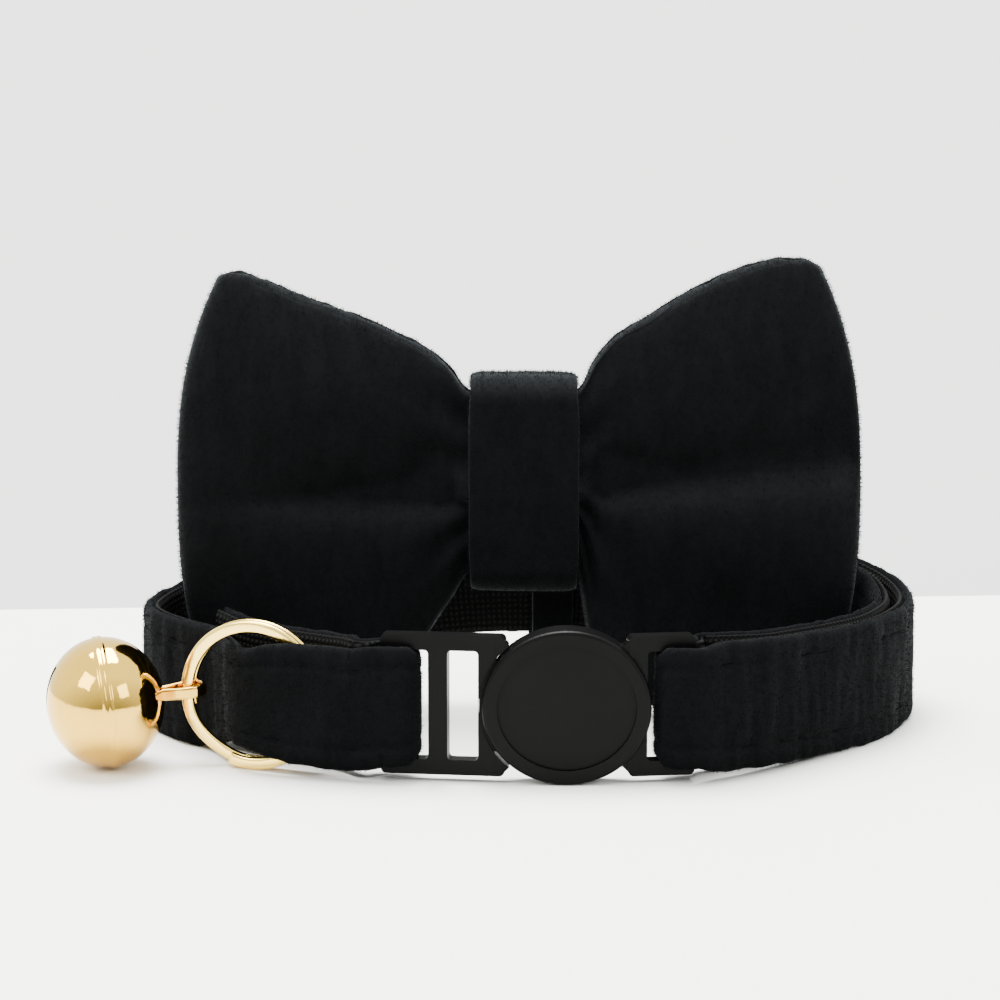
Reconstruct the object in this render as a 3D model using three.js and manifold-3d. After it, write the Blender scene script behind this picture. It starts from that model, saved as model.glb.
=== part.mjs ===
// Pet bow tie collar: a velvet strap with a quick-release disc buckle, a standing bow and a jingle bell.
// Units are millimetres, +Z is up, the buckle faces -Y and +X is to the right of that view.
// The part is laid out round the buckle disc, then moved so that its box stands centred on the origin.
import * as THREE from 'three';
import { mergeVertices } from 'three/addons/utils/BufferGeometryUtils.js';
import Module from 'manifold-3d';

const wasm = await Module();
wasm.setup();

const { degToRad, lerp, smoothstep } = THREE.MathUtils;

// Clearance between neighbouring pieces
const GAP = 0.3;

// Strap
const STRAP_WIDTH = 12;
const STRAP_THICKNESS = 1.7;
const STRAP_EDGE_ROUND = 0.4;
const STRAP_STEP = 1.7;
const FOLD_THICKNESS = 1.35;
const FOLD_OVERHANG = 0.35;
const FOLD_NARROW = { in: 0.38, out: 0.95 };
const FOLD_WIDTH = 0.93;
const LOOP_WIDTH = 75.6;
const LOOP_DEPTH = 41.2;
const LOOP_OFFSET = 2.9;
const LAYER_GAP = 0.6;
const LAYER_MERGE_LENGTH = 9;
const SLIDER_TAIL = 5;

// Buckle
const DISC_WIDTH = 15.3;
const DISC_HEIGHT = 14.2;
const DISC_THICKNESS = 3.2;
const DISC_RIM = 1.35;
const DISC_RECESS = 0.35;
const DISC_BEVEL = 0.35;
const FRAME_THICKNESS = 1.6;
const FRAME_ANGLE = degToRad(7);
const FRAME_RAIL = 1.4;
const FRAME_JOIN = 6;
const FRAME_SHOULDER = 0.9;
const FRAME_CORNER = 0.5;
const SLOT_HEIGHT = 10.1;
const SLOT_LENGTH = 2.8;
const SLOT_CORNER = 0.35;
const TONGUE_ROOT = 1.9;
const TONGUE_MIDDLE_BAR = 1.75;
const TONGUE_OUTER_BAR = 1.55;
const BLADE_LENGTH = 10;
const BLADE_HEIGHT = 8.4;
const BLADE_THICKNESS = 1;
const SOCKET_ROOT = 1.2;
const SOCKET_BAR = 1.55;

// Slider
const SLIDER_LENGTH = 11;
const SLIDER_BAR = 1.4;
const SLIDER_RAIL = 1.3;
const SLIDER_PLACE = 0.635;
const SLIDER_EASE = 0.35;

// Split ring
const RING_OVERSIZE = 2;
const RING_DIAMETER = STRAP_WIDTH + RING_OVERSIZE;
const RING_BAND = 1.15;
const RING_WIRE = 0.65;
const RING_TURN_GAP = 0.1;
const RING_TURNS = 1.84;
const RING_JOG = { start: 0.86, end: 0.98 };
const RING_END_ANGLE = degToRad(250);
const RING_STEPS = 44;
const RING_FROM_CREASE = { x: 1.5, y: -0.5 };
const RING_TURN_BACK = degToRad(18);

// Bell
const BELL_DIAMETER = 12.3;
const BELL_LENGTH = 10.8;
const BELL_WALL = 0.5;
const BELL_SEAM_WIDTH = 0.8;
const BELL_SEAM_HEIGHT = 0.12;
const BELL_SLOT_WIDTH = 1.2;
const BELL_SLOT_LENGTH = 8;
const BELL_TURN_BACK = degToRad(11);
const BELL_ROUND_STEPS = 28;
const BELL_ARC_STEPS = 9;
const EYE_STRIP = 0.45;
const EYE_HEIGHT = 1.1;
const EYE_GAP = 0.25;
const EYE_NECK = 2.35;
const PELLET_DIAMETER = 3.4;

// Bow
const BOW_WIDTH = 66.2;
const BOW_CORNER_WIDTH = 58;
const BOW_HEIGHT = 45;
const BOW_DEPTH = 6.8;
const BOW_EDGE_DEPTH = 3.3;
const BOW_WALL = 1.4;
const BOW_CREASE = 2.6;
const BOW_CREASE_WIDTH = { above: 0.3, below: 0.15 };
const BOW_REAR_CREASE = 0.3;
const BOW_SIDE_CURVE = 2.6;
const BOW_PUFF_CURVE = 0.6;
const BOW_CAVITY_REACH = 1.25;
const BOW_EXTRA_ROWS = 4;
const LEAST_CORNER = 0.15;
const BOW_CAVITY_START = 0.3;
const BOW_ROWS = 16;
const BOW_OFFSET = -3.7;
const BOW_SKEW = 0.45;
const KNOT_WIDTH = 10.6;
const KNOT_WALL = 1.5;
const KNOT_CORNER = 1.9;
const KNOT_BEVEL = 0.4;
const KEEPER_WIDTH = 4;
const KEEPER_WALL = 1;
const KEEPER_OFFSET = 3.3;

// The strap's route, one row for each station from the tongue's outer bar round the back to the
// socket's bar. across and deep are shares of the loop's width and depth, lift is the height of the
// bottom edge as a share of the strap's width, and width is a share of the strap's own width.
const STRAP_ROUTE = [
  { across: -0.213, deep: 0.039, lift: 0.09, width: 0.94 },
  { across: -0.253, deep: 0.058, lift: 0.1, width: 0.94 },
  { across: -0.306, deep: 0.092, lift: 0.125, width: 0.91 },
  { across: -0.343, deep: 0.126, lift: 0.175, width: 0.8 },
  { across: -0.36, deep: 0.168, lift: 0.19, width: 0.77 },
  { across: -0.372, deep: 0.233, lift: 0.17, width: 0.79 },
  { across: -0.394, deep: 0.313, lift: 0.06, width: 0.94 },
  { across: -0.434, deep: 0.397, lift: 0, width: 1 },
  { across: -0.475, deep: 0.507, lift: 0, width: 1 },
  { across: -0.489, deep: 0.595, lift: 0, width: 1 },
  { across: -0.476, deep: 0.699, lift: 0.02, width: 1 },
  { across: -0.438, deep: 0.765, lift: 0.08, width: 1 },
  { across: -0.358, deep: 0.789, lift: 0.24, width: 1 },
  { across: -0.226, deep: 0.786, lift: 0.48, width: 1 },
  { across: -0.08, deep: 0.782, lift: 0.6, width: 1 },
  { across: 0.033, deep: 0.782, lift: 0.61, width: 1 },
  { across: 0.131, deep: 0.835, lift: 0.55, width: 1 },
  { across: 0.217, deep: 0.903, lift: 0.44, width: 1 },
  { across: 0.316, deep: 0.947, lift: 0.3, width: 1 },
  { across: 0.409, deep: 0.939, lift: 0.18, width: 1 },
  { across: 0.462, deep: 0.874, lift: 0.08, width: 1 },
  { across: 0.487, deep: 0.772, lift: 0.01, width: 1 },
  { across: 0.483, deep: 0.636, lift: 0, width: 1 },
  { across: 0.459, deep: 0.51, lift: 0, width: 1 },
  { across: 0.429, deep: 0.415, lift: 0, width: 1 },
  { across: 0.384, deep: 0.314, lift: 0.015, width: 1 },
  { across: 0.34, deep: 0.231, lift: 0.03, width: 1 },
  { across: 0.3, deep: 0.159, lift: 0.045, width: 1 },
  { across: 0.259, deep: 0.095, lift: 0.065, width: 1 },
  { across: 0.222, deep: 0.047, lift: 0.08, width: 1 },
];
const CREASE_ROW = 4;

// The strap's sewn tail, from the tongue's bar to its free end behind the split ring.
const TAIL_ROUTE = [
  { across: -0.393, deep: 0.403, lift: 0.1, width: 1 },
  { across: -0.352, deep: 0.316, lift: 0.06, width: 1 },
  { across: -0.299, deep: 0.24, lift: 0.05, width: 1 },
  { across: -0.246, deep: 0.168, lift: 0.055, width: 1 },
  { across: -0.208, deep: 0.093, lift: 0.075, width: 1 },
];

// One lobe of the bow from its middle to its outer fold. out is a share of the half width and deep of
// the full depth. high and low are shares of the half height and crease of the valley's depth, each as
// left lobe and right lobe.
const LOBE_STATIONS = [
  { out: 0, deep: 0.56, high: [0.44, 0.44], low: [0.34, 0.34], crease: [0, 0] },
  { out: 0.194, deep: 0.56, high: [0.44, 0.44], low: [0.34, 0.34], crease: [0, 0] },
  { out: 0.207, deep: 0.58, high: [0.455, 0.46], low: [0.36, 0.45], crease: [0.35, 0.35] },
  { out: 0.235, deep: 0.68, high: [0.51, 0.54], low: [0.42, 0.66], crease: [0.95, 0.95] },
  { out: 0.3, deep: 0.82, high: [0.59, 0.645], low: [0.55, 0.81], crease: [1, 1] },
  { out: 0.42, deep: 0.92, high: [0.675, 0.745], low: [0.77, 0.9], crease: [0.85, 0.95] },
  { out: 0.56, deep: 0.98, high: [0.755, 0.85], low: [0.91, 0.95], crease: [0.75, 0.95] },
  { out: 0.7, deep: 1, high: [0.82, 0.935], low: [0.97, 0.98], crease: [0.5, 0.95] },
  { out: 0.82, deep: 1, high: [0.88, 0.985], low: [0.99, 0.99], crease: [0.25, 0.9] },
  { out: 0.92, deep: 0.94, high: [0.93, 1], low: [1, 1], crease: [0.12, 0.85] },
  { out: 0.975, deep: 0.72, high: [0.94, 0.99], low: [1, 1], crease: [0.05, 0.7] },
  { out: 1, deep: 0.4, high: [0.93, 0.97], low: [0.98, 0.98], crease: [0, 0.3] },
];

const MATERIALS = {
  velvet: { color: 0x14171c, roughness: 0.95, metalness: 0 },
  plastic: { color: 0x232323, roughness: 0.5, metalness: 0 },
  gold: { color: 0xe9c67c, roughness: 0.18, metalness: 1 },
  steel: { color: 0x9a9a9a, roughness: 0.4, metalness: 1 },
};

// Solids and booleans

function solidFrom(geometry) {
  const bare = geometry.clone();
  bare.deleteAttribute('normal');
  bare.deleteAttribute('uv');
  const merged = mergeVertices(bare, 1e-4);
  return new wasm.Manifold(new wasm.Mesh({
    numProp: 3,
    vertProperties: new Float32Array(merged.attributes.position.array),
    triVerts: new Uint32Array(merged.index.array),
  }));
}

function geometryFrom(solid) {
  const mesh = solid.getMesh();
  const geometry = new THREE.BufferGeometry();
  geometry.setAttribute('position', new THREE.BufferAttribute(new Float32Array(mesh.vertProperties), 3));
  geometry.setIndex([...mesh.triVerts]);
  geometry.computeVertexNormals();
  return geometry;
}

function joined(geometries) {
  return geometries.map(solidFrom).reduce((whole, next) => whole.add(next));
}

function cut(solid, geometries) {
  return geometries.map(solidFrom).reduce((rest, next) => rest.subtract(next), solid);
}

function signedVolume(geometry) {
  const position = geometry.attributes.position;
  const corners = [new THREE.Vector3(), new THREE.Vector3(), new THREE.Vector3()];
  let volume = 0;
  for (let i = 0; i < geometry.index.count; i += 3) {
    corners.forEach((corner, k) => corner.fromBufferAttribute(position, geometry.index.getX(i + k)));
    volume += corners[0].dot(corners[1].cross(corners[2])) / 6;
  }
  return volume;
}

// A closed mesh from points and triangles, with its faces turned to point out.
function closedMesh(points, faces) {
  const geometry = new THREE.BufferGeometry();
  const numbers = points.flatMap((point) => point.toArray());
  geometry.setAttribute('position', new THREE.Float32BufferAttribute(numbers, 3));
  geometry.setIndex(faces);
  if (signedVolume(geometry) < 0) {
    geometry.setIndex(faces.reverse());
  }
  geometry.computeVertexNormals();
  return geometry;
}

// A bar whose sections are equal convex rings of points, with a flat face at each end.
function loftRings(rings) {
  const count = rings[0].length;
  const faces = [];
  for (let i = 0; i < rings.length - 1; i += 1) {
    for (let j = 0; j < count; j += 1) {
      const k = (j + 1) % count;
      const here = i * count;
      const next = here + count;
      faces.push(here + j, here + k, next + k, here + j, next + k, next + j);
    }
  }
  const last = (rings.length - 1) * count;
  for (let j = 1; j < count - 1; j += 1) {
    faces.push(0, j + 1, j, last, last + j, last + j + 1);
  }
  return closedMesh(rings.flat(), faces);
}

// A solid between a front and a back grid of equal size, closed all round its four edges.
function solidBetween(front, back) {
  const rows = front[0].length;
  const offset = front.length * rows;
  const at = (i, j) => i * rows + j;
  const faces = [];
  const quad = (a, b, c, d) => faces.push(a, b, c, a, c, d);
  for (let i = 0; i < front.length - 1; i += 1) {
    for (let j = 0; j < rows - 1; j += 1) {
      quad(at(i, j), at(i + 1, j), at(i + 1, j + 1), at(i, j + 1));
      quad(offset + at(i, j), offset + at(i, j + 1), offset + at(i + 1, j + 1), offset + at(i + 1, j));
    }
    const top = rows - 1;
    quad(at(i, top), at(i + 1, top), offset + at(i + 1, top), offset + at(i, top));
    quad(at(i + 1, 0), at(i, 0), offset + at(i, 0), offset + at(i + 1, 0));
  }
  const end = front.length - 1;
  for (let j = 0; j < rows - 1; j += 1) {
    quad(at(0, j), at(0, j + 1), offset + at(0, j + 1), offset + at(0, j));
    quad(at(end, j + 1), at(end, j), offset + at(end, j), offset + at(end, j + 1));
  }
  return closedMesh([...front.flat(), ...back.flat()], faces);
}

function roundedRect(left, right, bottom, top, radius) {
  const shape = new THREE.Shape();
  shape.absarc(right - radius, bottom + radius, radius, -Math.PI / 2, 0);
  shape.absarc(right - radius, top - radius, radius, 0, Math.PI / 2);
  shape.absarc(left + radius, top - radius, radius, Math.PI / 2, Math.PI);
  shape.absarc(left + radius, bottom + radius, radius, Math.PI, Math.PI * 1.5);
  return shape;
}

function ellipse(width, height) {
  const shape = new THREE.Shape();
  shape.absellipse(0, 0, width / 2, height / 2, 0, Math.PI * 2, false, 0);
  return shape;
}

// A flat plate drawn in X and Z, from front to front + thickness along Y.
function plate(shape, front, thickness, bevel = 0, curveSegments = 3) {
  const geometry = new THREE.ExtrudeGeometry(shape, {
    depth: thickness - 2 * bevel,
    bevelEnabled: bevel > 0,
    bevelThickness: bevel,
    bevelSize: bevel,
    bevelOffset: -bevel,
    bevelSegments: 2,
    curveSegments,
  });
  geometry.rotateX(Math.PI / 2);
  geometry.translate(0, front + thickness - bevel, 0);
  return geometry;
}

function box(left, right, front, back, bottom, top) {
  const geometry = new THREE.BoxGeometry(right - left, back - front, top - bottom);
  geometry.translate((left + right) / 2, (front + back) / 2, (bottom + top) / 2);
  return geometry;
}

// Buckle

const BUCKLE_MIDDLE = DISC_HEIGHT / 2;
const BUCKLE_MIDPLANE = DISC_THICKNESS / 2;
const FRAME_HALF = SLOT_HEIGHT / 2 + FRAME_RAIL;
const TONGUE_BAR_START = TONGUE_ROOT + 2 * SLOT_LENGTH + TONGUE_MIDDLE_BAR;
const SOCKET_BAR_START = SOCKET_ROOT + SLOT_LENGTH;
const DISC_SEGMENTS = 40;

// Turns a plate drawn outwards from the disc to its side of the buckle, bent back by the given angle.
function toSide(geometry, side, angle) {
  if (side < 0) {
    geometry.rotateZ(Math.PI);
  }
  geometry.rotateZ(side * angle);
  geometry.translate(side * FRAME_JOIN, BUCKLE_MIDPLANE, BUCKLE_MIDDLE);
  return geometry;
}

function frame(side, length, slotStarts) {
  const outline = roundedRect(-FRAME_CORNER, length, -FRAME_HALF, FRAME_HALF, FRAME_CORNER);
  for (const start of slotStarts) {
    const half = SLOT_HEIGHT / 2;
    outline.holes.push(roundedRect(start, start + SLOT_LENGTH, -half, half, SLOT_CORNER));
  }
  return toSide(plate(outline, -FRAME_THICKNESS / 2, FRAME_THICKNESS), side, FRAME_ANGLE);
}

// The shoulder whose corners slope in from the frame to the disc.
function shoulder(side) {
  const reach = FRAME_JOIN - GAP;
  const slope = FRAME_HALF - FRAME_SHOULDER;
  const shape = new THREE.Shape([
    new THREE.Vector2(-reach, -slope),
    new THREE.Vector2(-FRAME_SHOULDER, -slope),
    new THREE.Vector2(0, -FRAME_HALF),
    new THREE.Vector2(FRAME_CORNER, -FRAME_HALF),
    new THREE.Vector2(FRAME_CORNER, FRAME_HALF),
    new THREE.Vector2(0, FRAME_HALF),
    new THREE.Vector2(-FRAME_SHOULDER, slope),
    new THREE.Vector2(-reach, slope),
  ]);
  return toSide(plate(shape, -FRAME_THICKNESS / 2, FRAME_THICKNESS), side, 0);
}

function discPlate(grow, front, thickness, bevel = 0) {
  const shape = ellipse(DISC_WIDTH + 2 * grow, DISC_HEIGHT + 2 * grow);
  const geometry = plate(shape, front, thickness, bevel, DISC_SEGMENTS);
  geometry.translate(0, 0, BUCKLE_MIDDLE);
  return geometry;
}

function bladeBox(grow) {
  const start = -FRAME_JOIN - TONGUE_ROOT;
  const half = BLADE_HEIGHT / 2 + grow;
  const front = BUCKLE_MIDPLANE - BLADE_THICKNESS / 2 - grow;
  const back = BUCKLE_MIDPLANE + BLADE_THICKNESS / 2 + grow;
  const end = start + BLADE_LENGTH + grow;
  return box(start, end, front, back, BUCKLE_MIDDLE - half, BUCKLE_MIDDLE + half);
}

function buckleTongue() {
  const slots = [TONGUE_ROOT, TONGUE_ROOT + SLOT_LENGTH + TONGUE_MIDDLE_BAR];
  const plates = joined([frame(-1, TONGUE_BAR_START + TONGUE_OUTER_BAR, slots), shoulder(-1)]);
  const body = cut(plates, [discPlate(GAP, -DISC_THICKNESS, 3 * DISC_THICKNESS)]);
  return geometryFrom(body.add(solidFrom(bladeBox(0))));
}

function buckleSocket() {
  const body = joined([
    discPlate(0, 0, DISC_THICKNESS, DISC_BEVEL),
    frame(1, SOCKET_BAR_START + SOCKET_BAR, [SOCKET_ROOT]),
    shoulder(1),
  ]);
  const recess = discPlate(-DISC_RIM, -DISC_RECESS, 2 * DISC_RECESS);
  return geometryFrom(cut(body, [recess, bladeBox(GAP)]));
}

// A point of a frame: along runs outwards from where it is bent, behind runs towards the wearer.
function framePoint(side, along, behind) {
  const cos = Math.cos(FRAME_ANGLE);
  const sin = Math.sin(FRAME_ANGLE);
  const x = side * (FRAME_JOIN + along * cos - behind * sin);
  return { x, y: BUCKLE_MIDPLANE + along * sin + behind * cos };
}

// Strap

const SLOT_FIT = (SLOT_HEIGHT - 2 * GAP) / STRAP_WIDTH;
const FOLD_RADIUS = FRAME_THICKNESS / 2 + GAP + FOLD_THICKNESS / 2;
const FOLD_STEPS = 8;

function routePoint(row) {
  const x = row.across * LOOP_WIDTH - LOOP_OFFSET;
  return new THREE.Vector3(x, row.deep * LOOP_DEPTH, row.lift * STRAP_WIDTH);
}

// Stations along a smooth curve through the rows, evenly spaced along its length.
function routeStations(rows) {
  const curve = new THREE.CatmullRomCurve3(rows.map(routePoint), false, 'centripetal');
  const widths = new THREE.CatmullRomCurve3(rows.map((row) => new THREE.Vector3(row.width, 0, 0)));
  const count = Math.max(2, Math.round(curve.getLength() / STRAP_STEP));
  return Array.from({ length: count + 1 }, (_, i) => {
    const t = curve.getUtoTmapping(i / count);
    const point = curve.getPoint(t);
    return {
      x: point.x,
      y: point.y,
      lift: point.z,
      width: widths.getPoint(t).x,
      thickness: STRAP_THICKNESS,
      along: curve.getLength() * (i / count),
    };
  });
}

// The half turn round a bar: place(along, behind) gives the station, from the back leg to the front.
function foldStations(place, radius) {
  return Array.from({ length: FOLD_STEPS + 1 }, (_, i) => {
    const angle = Math.PI * (0.5 - i / FOLD_STEPS);
    return place(-radius * Math.cos(angle), radius * Math.sin(angle));
  });
}

function buckleFold(side, barStart, barLength) {
  const centre = barStart + FOLD_OVERHANG;
  const legEnd = barLength + GAP - FOLD_OVERHANG;
  const place = (along, behind) => {
    const clear = smoothstep(Math.abs(behind) / FOLD_RADIUS, FOLD_NARROW.in, FOLD_NARROW.out);
    const width = lerp(SLOT_FIT, FOLD_WIDTH, clear);
    return {
      ...framePoint(side, centre + along, behind),
      lift: BUCKLE_MIDDLE - (STRAP_WIDTH * width) / 2,
      width,
      thickness: FOLD_THICKNESS,
    };
  };
  return [place(legEnd, FOLD_RADIUS), ...foldStations(place, FOLD_RADIUS), place(legEnd, -FOLD_RADIUS)];
}

const MAIN_STATIONS = routeStations(STRAP_ROUTE);
const MAIN_LENGTH = MAIN_STATIONS.at(-1).along;

function midPoint(station) {
  return new THREE.Vector3(station.x, station.y, station.lift + (STRAP_WIDTH * station.width) / 2);
}

// The strap's own directions at a station: along its route, inwards and up across its width.
function strapFrame(stations, i) {
  const before = midPoint(stations[Math.max(0, i - 1)]);
  const after = midPoint(stations[Math.min(stations.length - 1, i + 1)]);
  const along = after.sub(before).normalize();
  const inward = new THREE.Vector3(along.y, -along.x, 0).normalize();
  const up = stations[i].up ?? new THREE.Vector3().crossVectors(along, inward).negate();
  return { along, inward, up };
}

const SLIDER_INDEX = Math.round(SLIDER_PLACE * (MAIN_STATIONS.length - 1));
const SLIDER_STATION = MAIN_STATIONS[SLIDER_INDEX];
const SLIDER_FRAME = strapFrame(MAIN_STATIONS, SLIDER_INDEX);
const SLIDER_FOLD_RADIUS = SLIDER_BAR / 2 + GAP + FOLD_THICKNESS / 2;
const SLIDER_LEG = STRAP_THICKNESS / 2 + GAP + SLIDER_EASE + FOLD_THICKNESS / 2;
const SLIDER_BAR_DEPTH = SLIDER_LEG + SLIDER_FOLD_RADIUS;

// A station in the slider: along follows the main layer and inwards points into the loop.
function sliderStation(along, inwards) {
  const point = new THREE.Vector3(SLIDER_STATION.x, SLIDER_STATION.y, SLIDER_STATION.lift)
    .addScaledVector(SLIDER_FRAME.along, along)
    .addScaledVector(SLIDER_FRAME.inward, inwards);
  return { x: point.x, y: point.y, lift: point.z, width: 1, thickness: FOLD_THICKNESS, up: SLIDER_FRAME.up };
}

// The inner layer runs back from the socket inside the main layer as far as the slider.
function innerStations() {
  const first = SLIDER_INDEX + Math.ceil((SLIDER_BAR + GAP) / STRAP_STEP) + 1;
  const stations = [];
  for (let i = MAIN_STATIONS.length - 1; i >= first; i -= 1) {
    const station = MAIN_STATIONS[i];
    const { inward } = strapFrame(MAIN_STATIONS, i);
    const merge = smoothstep(MAIN_LENGTH - station.along, 0, LAYER_MERGE_LENGTH);
    const reach = smoothstep(i - first, 0, LAYER_MERGE_LENGTH / STRAP_STEP);
    const layer = STRAP_THICKNESS + LAYER_GAP;
    const offset = lerp(SLIDER_LEG, lerp(2 * FOLD_RADIUS, layer, merge), reach);
    stations.push({
      ...station,
      x: station.x + inward.x * offset,
      y: station.y + inward.y * offset,
      thickness: lerp(FOLD_THICKNESS, station.thickness, Math.min(merge, reach)),
    });
  }
  return stations;
}

function sliderFold() {
  const centre = FOLD_OVERHANG - SLIDER_BAR / 2;
  const place = (along, behind) => sliderStation(centre + along, SLIDER_BAR_DEPTH - behind);
  const end = sliderStation(SLIDER_TAIL, SLIDER_BAR_DEPTH + SLIDER_FOLD_RADIUS);
  return [...foldStations(place, SLIDER_FOLD_RADIUS), end];
}

function strapStations() {
  const tail = routeStations(TAIL_ROUTE);
  const inner = innerStations();
  return [
    ...tail,
    ...buckleFold(-1, TONGUE_BAR_START, TONGUE_OUTER_BAR),
    ...MAIN_STATIONS,
    ...buckleFold(1, SOCKET_BAR_START, SOCKET_BAR).reverse(),
    ...inner,
    ...sliderFold(),
  ];
}

// One section of the strap: a rounded rectangle square to its route.
function strapSection(stations, i) {
  const station = stations[i];
  const { inward, up } = strapFrame(stations, i);
  const middle = midPoint(station);
  const halfThick = station.thickness / 2;
  const halfWide = (STRAP_WIDTH * station.width) / 2;
  const round = STRAP_EDGE_ROUND;
  const outline = [
    [halfThick, -halfWide + round], [halfThick, halfWide - round],
    [halfThick - round, halfWide], [-halfThick + round, halfWide],
    [-halfThick, halfWide - round], [-halfThick, -halfWide + round],
    [-halfThick + round, -halfWide], [halfThick - round, -halfWide],
  ];
  return outline.map(([out, rise]) => middle.clone().addScaledVector(inward, -out).addScaledVector(up, rise));
}

function strap() {
  const stations = strapStations();
  return loftRings(stations.map((_, i) => strapSection(stations, i)));
}

// Slider

// The rails are flat wedges over and under the strap; two bars cross outside it and one inside.
function slider() {
  const outer = -(STRAP_THICKNESS / 2 + GAP + SLIDER_EASE);
  const half = SLIDER_LENGTH / 2;
  const nose = SLIDER_BAR_DEPTH + SLIDER_BAR / 2;
  const rail = new THREE.Shape([
    new THREE.Vector2(-half, outer - SLIDER_BAR),
    new THREE.Vector2(half, outer - SLIDER_BAR),
    new THREE.Vector2(half, outer),
    new THREE.Vector2(SLIDER_BAR, nose),
    new THREE.Vector2(-SLIDER_BAR, nose),
    new THREE.Vector2(-half, outer),
  ]);
  const top = STRAP_WIDTH / 2 + GAP + SLIDER_EASE;
  const bottom = -top - SLIDER_RAIL;
  const rails = [bottom, top].map((height) => {
    const geometry = new THREE.ExtrudeGeometry(rail, { depth: SLIDER_RAIL, bevelEnabled: false });
    geometry.translate(0, 0, height);
    return geometry;
  });
  const overlap = SLIDER_RAIL / 2;
  const bar = (left, front) => box(
    left, left + SLIDER_BAR, front, front + SLIDER_BAR, bottom + overlap, top + overlap,
  );
  const pieces = [
    ...rails,
    bar(-half, outer - SLIDER_BAR),
    bar(half - SLIDER_BAR, outer - SLIDER_BAR),
    bar(-SLIDER_BAR / 2, SLIDER_BAR_DEPTH - SLIDER_BAR / 2),
  ];
  const { along, inward, up } = SLIDER_FRAME;
  const turn = new THREE.Matrix4().makeBasis(along.clone().negate(), inward, up);
  turn.setPosition(midPoint(SLIDER_STATION));
  return geometryFrom(joined(pieces)).applyMatrix4(turn);
}

// Split ring

const CREASE = routePoint(STRAP_ROUTE[CREASE_ROW]);
const RING_CENTRE = new THREE.Vector3(
  CREASE.x + RING_FROM_CREASE.x,
  CREASE.y + RING_FROM_CREASE.y,
  RING_DIAMETER / 2,
);
const RING_RIGHT = new THREE.Vector3(Math.cos(RING_TURN_BACK), -Math.sin(RING_TURN_BACK), 0);
const RING_BACK = new THREE.Vector3(Math.sin(RING_TURN_BACK), Math.cos(RING_TURN_BACK), 0);
const UP = new THREE.Vector3(0, 0, 1);
const RING_STACK = 2 * RING_WIRE + RING_TURN_GAP;

// A flat wire wound twice, which steps from one turn to the next.
function splitRing() {
  const count = Math.round(RING_TURNS * RING_STEPS);
  const rings = [];
  for (let i = 0; i <= count; i += 1) {
    const turn = (RING_TURNS * i) / count;
    const angle = RING_END_ANGLE + turn * Math.PI * 2;
    const step = smoothstep(turn, RING_JOG.start, RING_JOG.end) * (RING_WIRE + RING_TURN_GAP);
    const front = step - RING_STACK / 2;
    const outward = RING_RIGHT.clone().multiplyScalar(Math.cos(angle)).addScaledVector(UP, Math.sin(angle));
    const corner = (radius, behind) => RING_CENTRE.clone()
      .addScaledVector(outward, radius)
      .addScaledVector(RING_BACK, behind);
    const outer = RING_DIAMETER / 2;
    const inner = outer - RING_BAND;
    rings.push([
      corner(outer, front), corner(outer, front + RING_WIRE),
      corner(inner, front + RING_WIRE), corner(inner, front),
    ]);
  }
  return loftRings(rings);
}

// Bell

const WIRE_POINT = RING_CENTRE.clone().addScaledVector(RING_RIGHT, -(RING_DIAMETER - RING_BAND) / 2);
const BELL_REACH = BELL_LENGTH / 2 + EYE_NECK;
const BELL_CENTRE_HEIGHT = BELL_DIAMETER / 2;
const BELL_TILT = Math.asin((WIRE_POINT.z - BELL_CENTRE_HEIGHT) / BELL_REACH);
const BELL_CENTRE = new THREE.Vector3(
  WIRE_POINT.x - BELL_REACH * Math.cos(BELL_TILT) * Math.cos(BELL_TURN_BACK),
  WIRE_POINT.y - BELL_REACH * Math.cos(BELL_TILT) * Math.sin(BELL_TURN_BACK),
  BELL_CENTRE_HEIGHT,
);
const EYE_HALF_HOLE = (RING_STACK + RING_BAND) * 0.36 + EYE_GAP;

// A round shell whose axis is X; radius is its widest and half its length along the axis.
function bellOfRevolution(radius, half, seam) {
  const points = [];
  for (let i = 0; i <= 2 * BELL_ARC_STEPS; i += 1) {
    const angle = (Math.PI * i) / (2 * BELL_ARC_STEPS) - Math.PI / 2;
    points.push(new THREE.Vector2(radius * Math.cos(angle), half * Math.sin(angle)));
  }
  points[0].x = 0;
  points.at(-1).x = 0;
  const profile = points.filter((point) => seam === 0 || Math.abs(point.y) > BELL_SEAM_WIDTH / 2);
  if (seam > 0) {
    const middle = profile.findIndex((point) => point.y > 0);
    const edge = BELL_SEAM_WIDTH / 2;
    profile.splice(
      middle, 0,
      new THREE.Vector2(radius, -edge), new THREE.Vector2(radius + seam, -edge / 2),
      new THREE.Vector2(radius + seam, edge / 2), new THREE.Vector2(radius, edge),
    );
  }
  const geometry = new THREE.LatheGeometry(profile, BELL_ROUND_STEPS);
  geometry.rotateZ(-Math.PI / 2);
  return geometry;
}

function bellEye() {
  const tip = BELL_REACH + EYE_HALF_HOLE + EYE_STRIP;
  const half = EYE_HALF_HOLE + EYE_STRIP;
  const root = BELL_LENGTH / 2 - BELL_WALL;
  const outline = roundedRect(root, tip, -half, half, half * 0.9);
  outline.holes.push(roundedRect(
    root + 2 * BELL_WALL, tip - EYE_STRIP, -EYE_HALF_HOLE, EYE_HALF_HOLE, EYE_HALF_HOLE * 0.85,
  ));
  const geometry = new THREE.ExtrudeGeometry(outline, {
    depth: EYE_HEIGHT,
    bevelEnabled: false,
    curveSegments: 5,
  });
  geometry.translate(0, 0, -EYE_HEIGHT / 2);
  return geometry;
}

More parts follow.
